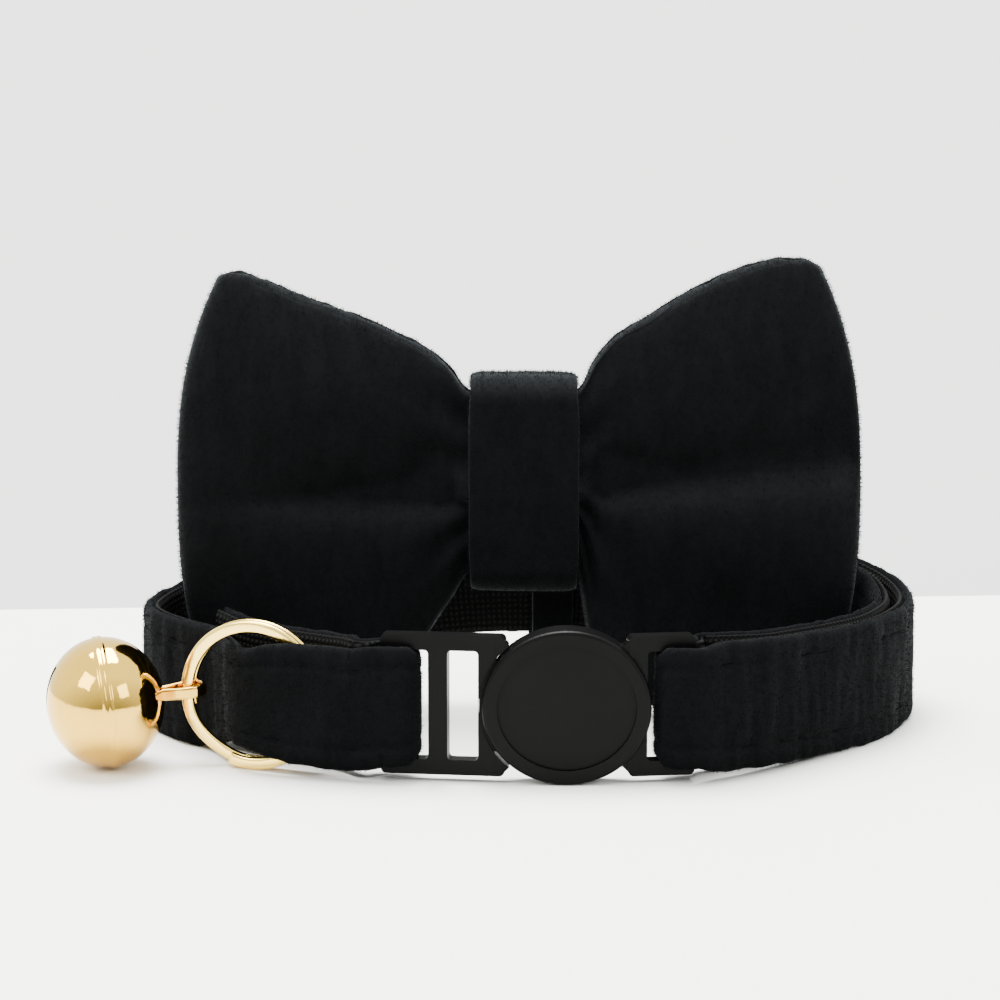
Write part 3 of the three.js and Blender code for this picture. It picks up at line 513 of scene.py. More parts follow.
def pile_on(name, piece, count, length, lean, seed, material="velvet_fibre"):
    """Short fibres standing on a piece: one thin triangle each, spread evenly over its area.

    Each stands along the face's normal, turned by chance and upwards by lean, and none reaches
    below the table. length is in millimetres.
    """
    a, b, c = mesh_triangles(piece.data)
    normal = np.cross(b - a, c - a)
    area = np.linalg.norm(normal, axis=1)
    rng = np.random.default_rng(seed)
    pick = rng.choice(len(area), count, p=area / area.sum())
    u, v = rng.random((2, count, 1))
    flip = (u + v) > 1
    u, v = np.where(flip, 1 - u, u), np.where(flip, 1 - v, v)
    root = a[pick] + (b - a)[pick] * u + (c - a)[pick] * v
    stand = unit(unit(normal[pick]) + rng.normal(0, FIBRE_TURN, (count, 3)) + (0, 0, lean))
    side = unit(np.cross(stand, rng.normal(size=(count, 3)))) * FIBRE_HALF_WIDTH * MM
    tall = stand * (length * rng.uniform(*FIBRE_LENGTHS, (count, 1))) * MM
    points = np.stack([root - side, root + side, root + tall], 1).reshape(-1, 3)
    points[:, 2] = np.maximum(points[:, 2], 0)
    mesh = bpy.data.meshes.new(name)
    mesh.vertices.add(len(points))
    mesh.vertices.foreach_set("co", points.ravel())
    mesh.loops.add(count * 3)
    mesh.loops.foreach_set("vertex_index", np.arange(count * 3, dtype=np.int32))
    mesh.polygons.add(count)
    mesh.polygons.foreach_set("loop_start", np.arange(0, count * 3, 3, dtype=np.int32))
    mesh.update(calc_edges=True)
    return add_piece(mesh, material)


def node_group(name, inputs, outputs):
    """A shader node group with named sockets, and its input and output nodes."""
    group = bpy.data.node_groups.new(name, "ShaderNodeTree")
    for socket, kind, default in inputs:
        made = group.interface.new_socket(socket, in_out="INPUT", socket_type=kind)
        if default is not None:
            made.default_value = default
    for socket, kind in outputs:
        group.interface.new_socket(socket, in_out="OUTPUT", socket_type=kind)
    return group, group.nodes.new("NodeGroupInput"), group.nodes.new("NodeGroupOutput")


def add_node(tree, kind, links=(), **values):
    """Adds a node, sets its attributes or input defaults by name, and links sockets into it."""
    node = tree.nodes.new(kind)
    for key, value in values.items():
        if hasattr(node, key):
            setattr(node, key, value)
        else:
            node.inputs[key.replace("_", " ")].default_value = value
    for target, source in links:
        tree.links.new(source, node.inputs[target])
    return node


def add_noise(group, start, scale, vector=None, **values):
    """Adds a noise texture at the group's named scale, over its vector or the one given."""
    links = [("Vector", vector or start.outputs["Vector"]), ("Scale", start.outputs[scale])]
    return add_node(group, "ShaderNodeTexNoise", links, **values)


def add_bump(group, start, height, distance):
    """Adds a bump from a height, at the group's strength; distance is its depth in metres."""
    links = [("Height", height), ("Strength", start.outputs["Bump"])]
    return add_node(group, "ShaderNodeBump", links, Distance=distance)


def add_range(tree, value, **values):
    """Adds a map range node over a value."""
    return add_node(tree, "ShaderNodeMapRange", [("Value", value)], **values)


def velvet_group():
    """Pile of velvet with painted top light, lighter where its normal faces up as if lit from above: brushed
    clumps, fine fibres, and a soft bump from both.
    """
    group, start, end = node_group(
        "velvet_pile",
        [("Vector", "NodeSocketVector", None), ("Clump Scale", "NodeSocketFloat", 420.0),
         ("Fibre Scale", "NodeSocketFloat", 3600.0), ("Bump", "NodeSocketFloat", 0.5)],
        [("Brushed", "NodeSocketFloat"), ("Fibre", "NodeSocketFloat"), ("Normal", "NodeSocketVector")],
    )
    drawn = add_node(group, "ShaderNodeVectorMath", [(0, start.outputs["Vector"])], operation="MULTIPLY")
    drawn.inputs[1].default_value = (1.0, 1.0, 0.35)
    clump = add_noise(group, start, "Clump Scale", drawn.outputs["Vector"], Detail=5.0, Roughness=0.7)
    fibre = add_noise(group, start, "Fibre Scale", Detail=2.0)
    brushed = add_range(group, clump.outputs["Fac"], From_Min=0.3, From_Max=0.72)
    height = add_node(
        group, "ShaderNodeMath", [(0, fibre.outputs["Fac"]), (1, brushed.outputs["Result"])], operation="ADD",
    )
    surface = group.nodes.new("ShaderNodeNewGeometry")
    upward = add_node(group, "ShaderNodeSeparateXYZ", [("Vector", surface.outputs["Normal"])])
    # Painted top light: the colour mask rises where the surface's normal faces up, standing in for light from
    # above; the mix below keeps 0.7 of it and 0.3 of the brushed clumps.
    painted_top_light = add_range(group, upward.outputs["Z"], From_Min=-0.3, From_Max=0.45)
    tone = add_node(
        group, "ShaderNodeMix", [("A", painted_top_light.outputs["Result"]), ("B", brushed.outputs["Result"])],
        data_type="FLOAT",
    )
    tone.inputs[0].default_value = 0.3
    bump = add_bump(group, start, height.outputs[0], 0.00012)
    group.links.new(tone.outputs[0], end.inputs["Brushed"])
    group.links.new(fibre.outputs["Fac"], end.inputs["Fibre"])
    group.links.new(bump.outputs["Normal"], end.inputs["Normal"])
    return group


def weave_group():
    """Plain narrow webbing: ribs along the strap crossed by picks, from the strap's own UV in metres."""
    group, start, end = node_group(
        "webbing_weave",
        [("Vector", "NodeSocketVector", None), ("Rib Pitch", "NodeSocketFloat", 560.0),
         ("Bump", "NodeSocketFloat", 0.8)],
        [("Thread", "NodeSocketFloat"), ("Normal", "NodeSocketVector")],
    )
    placing = [("Vector", start.outputs["Vector"]), ("Scale", start.outputs["Rib Pitch"])]
    ribs = add_node(group, "ShaderNodeTexWave", placing, bands_direction="Y", Distortion=0.6, Detail=1.0)
    picks = add_node(group, "ShaderNodeTexWave", placing, bands_direction="X", Distortion=0.8, Detail=1.0)
    cross = add_node(
        group, "ShaderNodeMath", [(0, ribs.outputs["Fac"]), (1, picks.outputs["Fac"])], operation="MULTIPLY",
    )
    bump = add_bump(group, start, cross.outputs[0], 0.0002)
    group.links.new(cross.outputs[0], end.inputs["Thread"])
    group.links.new(bump.outputs["Normal"], end.inputs["Normal"])
    return group


def mould_group():
    """Satin moulded or rolled surface: fine grain, long handling marks and a faint bump."""
    group, start, end = node_group(
        "fine_grain",
        [("Vector", "NodeSocketVector", None), ("Grain Scale", "NodeSocketFloat", 2500.0),
         ("Mark Scale", "NodeSocketFloat", 160.0), ("Bump", "NodeSocketFloat", 0.2)],
        [("Marks", "NodeSocketFloat"), ("Normal", "NodeSocketVector")],
    )
    grain = add_noise(group, start, "Grain Scale", Detail=3.0)
    marks = add_noise(group, start, "Mark Scale", Detail=6.0, Roughness=0.7)
    bump = add_bump(group, start, grain.outputs["Fac"], 0.00004)
    group.links.new(marks.outputs["Fac"], end.inputs["Marks"])
    group.links.new(bump.outputs["Normal"], end.inputs["Normal"])
    return group


def dressed_material(name, group, coordinate, dark, light, mask, rough, shader_values):
    """A Principled material whose colour and roughness follow one mask of a node group."""
    material = bpy.data.materials.new(name)
    material.use_nodes = True
    tree = material.node_tree
    shader = tree.nodes["Principled BSDF"]
    place = tree.nodes.new("ShaderNodeTexCoord")
    detail = tree.nodes.new("ShaderNodeGroup")
    detail.node_tree = group
    tree.links.new(place.outputs[coordinate], detail.inputs["Vector"])
    tone = add_node(tree, "ShaderNodeMix", data_type="RGBA")
    tone.inputs[6].default_value = (*dark, 1)
    tone.inputs[7].default_value = (*light, 1)
    tree.links.new(detail.outputs[mask], tone.inputs[0])
    tree.links.new(tone.outputs[2], shader.inputs["Base Color"])
    spread = add_range(tree, detail.outputs[mask], To_Min=rough[0], To_Max=rough[1])
    tree.links.new(spread.outputs["Result"], shader.inputs["Roughness"])
    tree.links.new(detail.outputs["Normal"], shader.inputs["Normal"])
    for key, value in shader_values.items():
        shader.inputs[key].default_value = value
    return material


def collar_material(name):
    """The collar's materials by name, made once."""
    if name in bpy.data.materials:
        return bpy.data.materials[name]
    settings = bpy.context.scene.collar
    makers = {"velvet_pile": velvet_group, "webbing_weave": weave_group, "fine_grain": mould_group}
    velvet = ("velvet_pile", "Object", "Brushed")
    fibre = ("velvet_pile", "Object", "Fibre")
    weave = ("webbing_weave", "UV", "Thread")
    grain = ("fine_grain", "Object", "Marks")
    matt, metal = {"Specular IOR Level": 0.05}, {"Metallic": 1.0}
    sheen = {
        "Sheen Weight": 0.06, "Sheen Roughness": 0.4, "Sheen Tint": (0.75, 0.85, 0.92, 1),
        "Specular IOR Level": 0.03,
    }
    recipes = {
        # velvet_cloth and strap_cloth go from a shaded dark colour to a lit light colour by painted top light
        # where the velvet faces up, mixed with brushed clumps.
        "velvet_cloth": (velvet, (0.0003, 0.0003, 0.0004), settings.velvet_colour, (0.85, 1.0), sheen),
        "velvet_fibre": (fibre, (0.0014, 0.0016, 0.0018), (0.0048, 0.0052, 0.006), (0.75, 0.95), matt),
        "strap_cloth": (
            velvet, (0.0002, 0.0002, 0.0003), (0.0036, 0.0039, 0.0044), (0.85, 1.0),
            {**sheen, "Sheen Weight": 0.02},
        ),
        "strap_fibre": (
            fibre, (0.0006, 0.0007, 0.0008), (0.002, 0.0022, 0.0025), (0.8, 0.95),
            {"Specular IOR Level": 0.04},
        ),
        "strap_webbing": (weave, (0.0006, 0.0006, 0.0006), (0.008, 0.008, 0.0078), (0.7, 0.95), matt),
        "stitch_thread": (
            grain, (0.0012, 0.0013, 0.0015), (0.0024, 0.0026, 0.003), (0.8, 0.95),
            {"Specular IOR Level": 0.02},
        ),
        "buckle_plastic": (
            grain, (0.0012, 0.0012, 0.0012), settings.plastic_colour, (0.3, 0.42),
            {"Specular IOR Level": 0.045},
        ),
        "bell_gold": (grain, (0.6, 0.355, 0.045), settings.bell_colour, (0.04, 0.09), metal),
        "ring_gold": (grain, (0.98, 0.66, 0.14), settings.ring_colour, (0.1, 0.2), metal),
        "pellet_steel": (grain, (0.3, 0.3, 0.31), (0.5, 0.5, 0.5), (0.3, 0.45), metal),
    }
    (group, coordinate, mask), dark, light, rough, values = recipes[name]
    nodes = bpy.data.node_groups.get(group) or makers[group]()
    return dressed_material(name, nodes, coordinate, dark, light, mask, rough, values)


class CollarSettings(bpy.types.PropertyGroup):
    """Sizes and colours of the collar's finish that can be set by themselves."""

    pile_length: bpy.props.FloatProperty(
        name="Pile length", description="Length of the velvet's fibres in millimetres",
        default=0.42, min=0.1, max=1.5,
    )
    bow_fibres: bpy.props.IntProperty(
        name="Bow fibres", description="Fibres on the bow's lobes",
        default=170000, min=0,
    )
    strap_fibres: bpy.props.IntProperty(
        name="Strap fibres", description="Fibres on the strap",
        default=120000, min=0,
    )
    stitch_pitch: bpy.props.FloatProperty(
        name="Stitch pitch", description="Length of one stitch and its gap in millimetres",
        default=2.5, min=1.0, max=6.0,
    )
    stitch_inset: bpy.props.FloatProperty(
        name="Stitch inset", description="Distance of the stitch lines from the strap's edges in millimetres",
        default=2.1, min=0.8, max=5.0,
    )
    pleat_depth: bpy.props.FloatProperty(
        name="Pleat depth", description="Depth of the gathers beside the knot in millimetres",
        default=0.2, min=0.0, max=2.0,
    )
    # The velvet's lit colour, reached where the painted top light is strongest, on surfaces that face up.
    velvet_colour: bpy.props.FloatVectorProperty(
        name="Velvet colour", description="Colour of the velvet where its pile faces up",
        subtype="COLOR", size=3, default=(0.0048, 0.0052, 0.0058), min=0.0, max=1.0,
    )
    plastic_colour: bpy.props.FloatVectorProperty(
        name="Plastic colour", description="Lightest colour of the buckle and the slider",
        subtype="COLOR", size=3, default=(0.0028, 0.0028, 0.0028), min=0.0, max=1.0,
    )
    bell_colour: bpy.props.FloatVectorProperty(
        name="Bell colour", description="Lightest colour of the bell's polished metal",
        subtype="COLOR", size=3, default=(0.72, 0.445, 0.07), min=0.0, max=1.0,
    )
    ring_colour: bpy.props.FloatVectorProperty(
        name="Ring colour", description="Lightest colour of the split ring's metal",
        subtype="COLOR", size=3, default=(1.0, 0.73, 0.19), min=0.0, max=1.0,
    )
    lens: bpy.props.FloatProperty(
        name="Lens", description="Focal length of the camera",
        default=110.0, unit="CAMERA",
    )


class COLLAR_OT_strap(bpy.types.Operator):
    """Make the strap's velvet, webbing, stitches and pile"""

    bl_idname = "collar.strap"
    bl_label = "Strap"

    def execute(self, context):
        settings = context.scene.collar
        path = fine_strap()
        thick = 2 * path["half_thick"]
        webbing = thick * WEBBING_SHARE
        line = 1 - settings.stitch_inset / (STRAP_WIDTH / 2)
        pulse = 0.5 - 0.5 * np.cos(2 * math.pi * path["run"] / settings.stitch_pitch)
        bend = np.linalg.norm(np.gradient(path["along"], axis=0), axis=1)
        calm = np.where(path["main"], 1.0, INNER_CALM) * np.exp(-(bend / SHARP_BEND) ** 2)
        calm = np.convolve(calm, np.ones(CALM_ROWS) / CALM_ROWS, "same")

        def velvet_relief(a):
            """Soft swells, less a groove along each stitch line that deepens at each stitch."""
            groove = np.exp(-(((np.abs(a) - line) * STRAP_WIDTH / 2) / GROOVE_WIDTH) ** 2)
            swell = smooth_noise(path["run"][:, None] * SWELL_PITCH[0], a * SWELL_PITCH[1], seed=3)
            deep = GROOVE_DEPTH + STITCH_PULL * pulse[:, None]
            return calm[:, None] * STRAP_SWELL * swell - groove * deep

        wobble = EDGE_WOBBLE * smooth_noise(path["run"] * EDGE_PITCH, np.zeros(len(path["run"])), seed=8)
        velvet = ribbon(
            "strap_velvet", path, path["half_width"] + wobble, path["half_thick"] - (thick - webbing) / 2,
            (thick - webbing) / 2, "strap_cloth", 44, velvet_relief,
        )
        backing = ribbon(
            "strap_webbing", path, path["half_width"] * WEBBING_WIDTH,
            webbing / 2 - path["half_thick"] + LAYER_OVERLAP, webbing / 2 + LAYER_OVERLAP,
            "strap_webbing", 30,
        )
        stitches = self.stitches(path, settings, line)
        pile = pile_on(
            "strap_pile", velvet, settings.strap_fibres, settings.pile_length * STRAP_PILE, STRAP_LEAN,
            seed=21, material="strap_fibre",
        )
        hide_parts("strap")
        return {"FINISHED"}

    def stitches(self, path, settings, line):
        """Rows of short threads sunk into the velvet, each an ellipsoid along the strap."""
        rows = np.flatnonzero(path["main"])
        marks = np.arange(path["run"][rows[0]] + 1, path["run"][rows[-1]] - 1, settings.stitch_pitch)
        u = np.linspace(0, 2 * math.pi, 9)[:-1]
        v = np.linspace(-math.pi / 2, math.pi / 2, 8)
        points, faces = [], []
        for sign in (-1, 1):
            for mark in marks:
                i = int(np.searchsorted(path["run"], mark))
                centre = (
                    path["middle"][i] - path["inward"][i] * (path["half_thick"][i] - THREAD_SUNK)
                    + path["up"][i] * sign * line * path["half_width"][i]
                )
                local = (
                    path["along"][i] * (np.sin(v) * settings.stitch_pitch * THREAD_SHARE)[:, None, None]
                    - path["inward"][i] * (np.cos(v)[:, None] * np.cos(u) * THREAD_SIZE[0])[..., None]
                    + path["up"][i] * (np.cos(v)[:, None] * np.sin(u) * THREAD_SIZE[1])[..., None]
                )
                faces.append(grid_faces(len(v), len(u), False, True) + len(points) * len(v) * len(u))
                points.append((centre + local).reshape(-1, 3))
        return new_piece("strap_stitches", np.vstack(points), np.vstack(faces), "stitch_thread")


def lobe_column(out, column):
    """A column of the lobe table at the given shares out, eased between its rows."""
    stations = LOBE_STATIONS[:, 0]
    k = np.clip(np.searchsorted(stations, out, side="right") - 1, 0, len(stations) - 2)
    t = (out - stations[k]) / (stations[k + 1] - stations[k])
    values = LOBE_STATIONS[:, column]
    slope = np.gradient(values, stations)
    gap = stations[k + 1] - stations[k]
    a, b, m1, m2 = values[k], values[k + 1], slope[k] * gap, slope[k + 1] * gap
    return cubic_span(a, b, m1, m2, t)


def bow_place():
    """Y of the bow's mid plane and the keeper's station, from the strap behind it."""
    main = route_stations(STRAP_ROUTE)
    along = strap_frames(main)[1]
    behind = np.flatnonzero(main[:, 1] > LOOP_DEPTH / 2)
    index = behind[np.argmin(np.abs(main[behind, 0] - (BOW_OFFSET + KEEPER_OFFSET)))]
    pinch = LOBE_STATIONS[0, 1] * BOW_DEPTH
    knot_depth = pinch + 2 * (GAP + KNOT_WALL)
    keeper_depth = STRAP_THICKNESS + 2 * (GAP + KEEPER_WALL)
    y = main[index, 1] - keeper_depth / 2 - GAP - knot_depth / 2
    return y, knot_depth, keeper_depth, main[index], along[index]


def bow_points(share, row, wall, pleat):
    """Points of the bow's looped band.

    share runs -2 to 2 round the band: 0 to 1 is the right lobe's front, 1 to 2 its rear, and the same
    below 0 for the left lobe. row runs from -1 at the lower edge to 1 at the upper edge. With s from
    -1 to 1 through a lobe, x goes out as 1 - |s|^k, the panels close as an ellipse near s = 0, and
    the crease is c exp(-(l^2 + e^2)^(1/2) / w) at the distance l from its line.
    """
    side = np.where(share < 0, -1.0, 1.0)
    s = np.abs(share) - 1
    out = 1 - np.abs(s) ** BOW_END_CURVE
    bend = np.clip(np.abs(s) / BOW_TURN_SHARE, 0, 1)
    face = np.sign(s) * np.sqrt(1 - (1 - bend) ** 2)
    deep = lobe_column(out, 1)
    high, low, crease = (np.where(side < 0, lobe_column(out, k), lobe_column(out, k + 1)) for k in (2, 4, 6))
    corner = np.minimum(1, np.abs(row)) ** BOW_SIDE_CURVE
    half_width = (BOW_WIDTH + (BOW_CORNER_WIDTH - BOW_WIDTH) * corner) / 2
    x = BOW_OFFSET + out * (side * (half_width - wall) - BOW_SKEW)
    edge = np.minimum(BOW_EDGE_DEPTH, BOW_DEPTH * deep) / 2
    puff = np.maximum(0, 1 - row * row) ** BOW_PUFF_CURVE
    depth = edge + (BOW_DEPTH * deep / 2 - edge) * puff - wall
    line = row - np.where(side > 0, CREASE_RIGHT + CREASE_RISE * out, CREASE_LEFT)
    above, below = BOW_CREASE_WIDTH
    away = np.sqrt(line ** 2 + CREASE_ROUND) / np.where(line > 0, above, below)
    valley = BOW_CREASE * crease * np.exp(-away)
    wave = np.sin(row * PLEAT_WAVE + side * 1.3 + out * 5)
    gather = pleat * np.exp(-((out - PLEAT_OUT) / PLEAT_REACH) ** 2) * wave
    slack = BOW_SLACK * smooth_noise(x * SLACK_PITCH[0] + side, row * SLACK_PITCH[1], seed=5)
    slack = slack * smoothstep(out, *SLACK_RISE)
    swell = np.where(s < 0, 1.0, BOW_REAR_CREASE)
    least = BOW_LEAST_DEPTH + BOW_WALL - wall
    y = bow_place()[0] + face * np.maximum(depth - valley * swell + gather + slack, least)
    z = BOW_HEIGHT / 2 * (1 + row * np.where(row > 0, high, low))
    return x, y, z


class COLLAR_OT_bow(bpy.types.Operator):
    """Make the bow's looped velvet band with its pile"""

    bl_idname = "collar.bow"
    bl_label = "Bow"

    def execute(self, context):
        settings = context.scene.collar
        count = 460
        share = np.linspace(-2, 2, count, endpoint=False) + 2 / count
        edge = np.linspace(-math.pi / 2, math.pi / 2, 96)
        outer = np.sin(edge)
        roll = np.linspace(0, math.pi, 8)[1:-1]
        rows = np.concatenate([outer, np.ones(len(roll)), outer[::-1], -np.ones(len(roll))])
        inset = np.concatenate([
            np.zeros(len(outer)), (1 - np.cos(roll)) / 2, np.ones(len(outer)), (1 + np.cos(roll)) / 2,
        ])
        bulge = np.concatenate([np.zeros(len(outer)), np.sin(roll), np.zeros(len(outer)), -np.sin(roll)])
        grid_share, grid_row = np.meshgrid(share, rows, indexing="ij")
        x, y, z = bow_points(grid_share, grid_row, inset[None, :] * BOW_WALL, settings.pleat_depth)
        at_edge = np.where(np.abs(grid_row) > HEM_START, 1, 0)
        z = z + bulge[None, :] * HEM_BULGE
        z = z + at_edge * HEM_WOBBLE * smooth_noise(x * HEM_PITCH[0], y * HEM_PITCH[1], seed=12)
        z = np.maximum(z, BOW_LEAST_LIFT)
        faces = grid_faces(len(share), len(rows), True, True)
        band = new_piece("bow_velvet", np.stack([x, y, z], -1), faces, "velvet_cloth")
        pile = pile_on("bow_pile", band, settings.bow_fibres, settings.pile_length, PILE_LEAN, seed=5)
        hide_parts("bow_band")
        return {"FINISHED"}


def soft_band(name, width, depth, height, wall, corner, centre, turn, tuck):
    """A soft closed band round a hole, as wide as width along X.

    Round goes along a rounded rectangle in Y and Z; the section across is a rounded rectangle
    with exponent 5, tuck narrows it towards its top and bottom turns.
    """
    half_y, half_z = (depth - wall) / 2, (height - wall) / 2
    radius = max(corner - wall / 2, 0.1)
    steps = 8
    signs = np.repeat([(1, 1), (-1, 1), (-1, -1), (1, -1)], steps, axis=0)
    angle = (np.repeat(np.arange(4), steps) + np.tile(np.arange(steps), 4) / (steps - 1)) * math.pi / 2
    away = np.column_stack([np.cos(angle), np.sin(angle)])
    path = np.hstack([signs * (half_y - radius, half_z - radius) + radius * away, away])
    path = np.vstack([path, path[:1]])
    run = run_length(path[:, :2])
    marks = np.linspace(0, run[-1], 160, endpoint=False)
    line = np.column_stack([np.interp(marks, run, c) for c in path.T])
    normal = unit(line[:, 2:])
    across, out = rounded_section(56, 5)
    narrow = 1 - tuck * smoothstep(np.abs(line[:, 1]) / half_z, TUCK_START, 1)
    around, over = RIPPLE_PITCH
    ripple = BAND_RIPPLE * smooth_noise(across[None, :] * around, marks[:, None] * over, seed=17)
    thick = (wall / 2) * out[None, :] + ripple * (out[None, :] > 0)
    x = across[None, :] * (width / 2) * narrow[:, None]
    y = line[:, 0:1] + normal[:, 0:1] * thick
    z = line[:, 1:2] + normal[:, 1:2] * thick
    cos, sin = math.cos(turn), math.sin(turn)
    points = np.stack([x * cos - y * sin, x * sin + y * cos, z], -1) + np.asarray(centre)
    faces = grid_faces(len(marks), len(across), True, True)
    return new_piece(name, points, faces, "velvet_cloth")


class COLLAR_OT_knot(bpy.types.Operator):
    """Make the knot wrap round the bow and the keeper that holds it on the strap"""

    bl_idname = "collar.knot"
    bl_label = "Knot and keeper"

    def execute(self, context):
        settings = context.scene.collar
        y, knot_depth, keeper_depth, station, along = bow_place()
        top, bottom = LOBE_STATIONS[0, 2] * BOW_HEIGHT / 2, LOBE_STATIONS[0, 4] * BOW_HEIGHT / 2
        height = top + bottom + 2 * (GAP + KNOT_WALL)
        middle = (BOW_OFFSET, y, BOW_HEIGHT / 2 + (top - bottom) / 2)
        knot = soft_band(
            "knot_velvet", KNOT_WIDTH, knot_depth, height, KNOT_WALL, KNOT_CORNER, middle, 0.0, KNOT_TUCK,
        )
        pile_length = settings.pile_length * KNOT_PILE
        knot_pile = pile_on("knot_pile", knot, KNOT_FIBRES, pile_length, PILE_LEAN, seed=9)
        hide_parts("bow_knot")
        centre = (station[0], station[1], station[2] + STRAP_WIDTH / 2)
        turn = math.atan2(along[1], along[0])
        keeper_height = STRAP_WIDTH + 2 * (GAP + KEEPER_WALL)
        keeper = soft_band(
            "keeper_velvet", KEEPER_WIDTH, keeper_depth, keeper_height, KEEPER_WALL, KEEPER_CORNER,
            centre, turn, 0.0,
        )
        pile_length = settings.pile_length * KEEPER_PILE
        pile_on("keeper_pile", keeper, KEEPER_FIBRES, pile_length, PILE_LEAN, seed=11)
        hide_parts("bow_keeper")
        return {"FINISHED"}


def ring_frame():
    """Centre, rightward and backward directions of the split ring's plane."""
    row = STRAP_ROUTE[CREASE_ROW]
    centre = np.array([
        row[0] * LOOP_WIDTH - LOOP_OFFSET + RING_FROM_CREASE[0],
        row[1] * LOOP_DEPTH + RING_FROM_CREASE[1],
        RING_DIAMETER / 2,
    ])
    cos, sin = math.cos(RING_TURN_BACK), math.sin(RING_TURN_BACK)
    return centre, np.array([cos, -sin, 0]), np.array([sin, cos, 0])


class COLLAR_OT_ring(bpy.types.Operator):
    """Make the split ring of flat wire wound twice"""

    bl_idname = "collar.ring"
    bl_label = "Split ring"

    def execute(self, context):
        centre, right, back = ring_frame()
        turn = np.linspace(0, RING_TURNS, 420)
        angle = RING_END_ANGLE + turn * 2 * math.pi
        step = smoothstep(turn, *RING_JOG) * (RING_WIRE + RING_TURN_GAP)
        front = step - (2 * RING_WIRE + RING_TURN_GAP) / 2 + RING_WIRE / 2
        across, deep = rounded_section(24, RING_ROUNDNESS) * np.array([[RING_BAND / 2], [RING_WIRE / 2]])
        outward = right * np.cos(angle)[:, None] + np.array([0, 0, 1.0]) * np.sin(angle)[:, None]
        radius = (RING_DIAMETER - RING_BAND) / 2 + across
        points = (
            centre + outward[:, None, :] * radius[None, :, None]
            + back * (front[:, None] + deep[None, :])[..., None]
        )
        faces = grid_faces(len(turn), len(across), False, True)
        caps = end_caps(len(turn), len(across))
        ring = new_piece("ring_coil", points, faces, "ring_gold", caps=caps)
        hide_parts("split_ring")
        return {"FINISHED"}


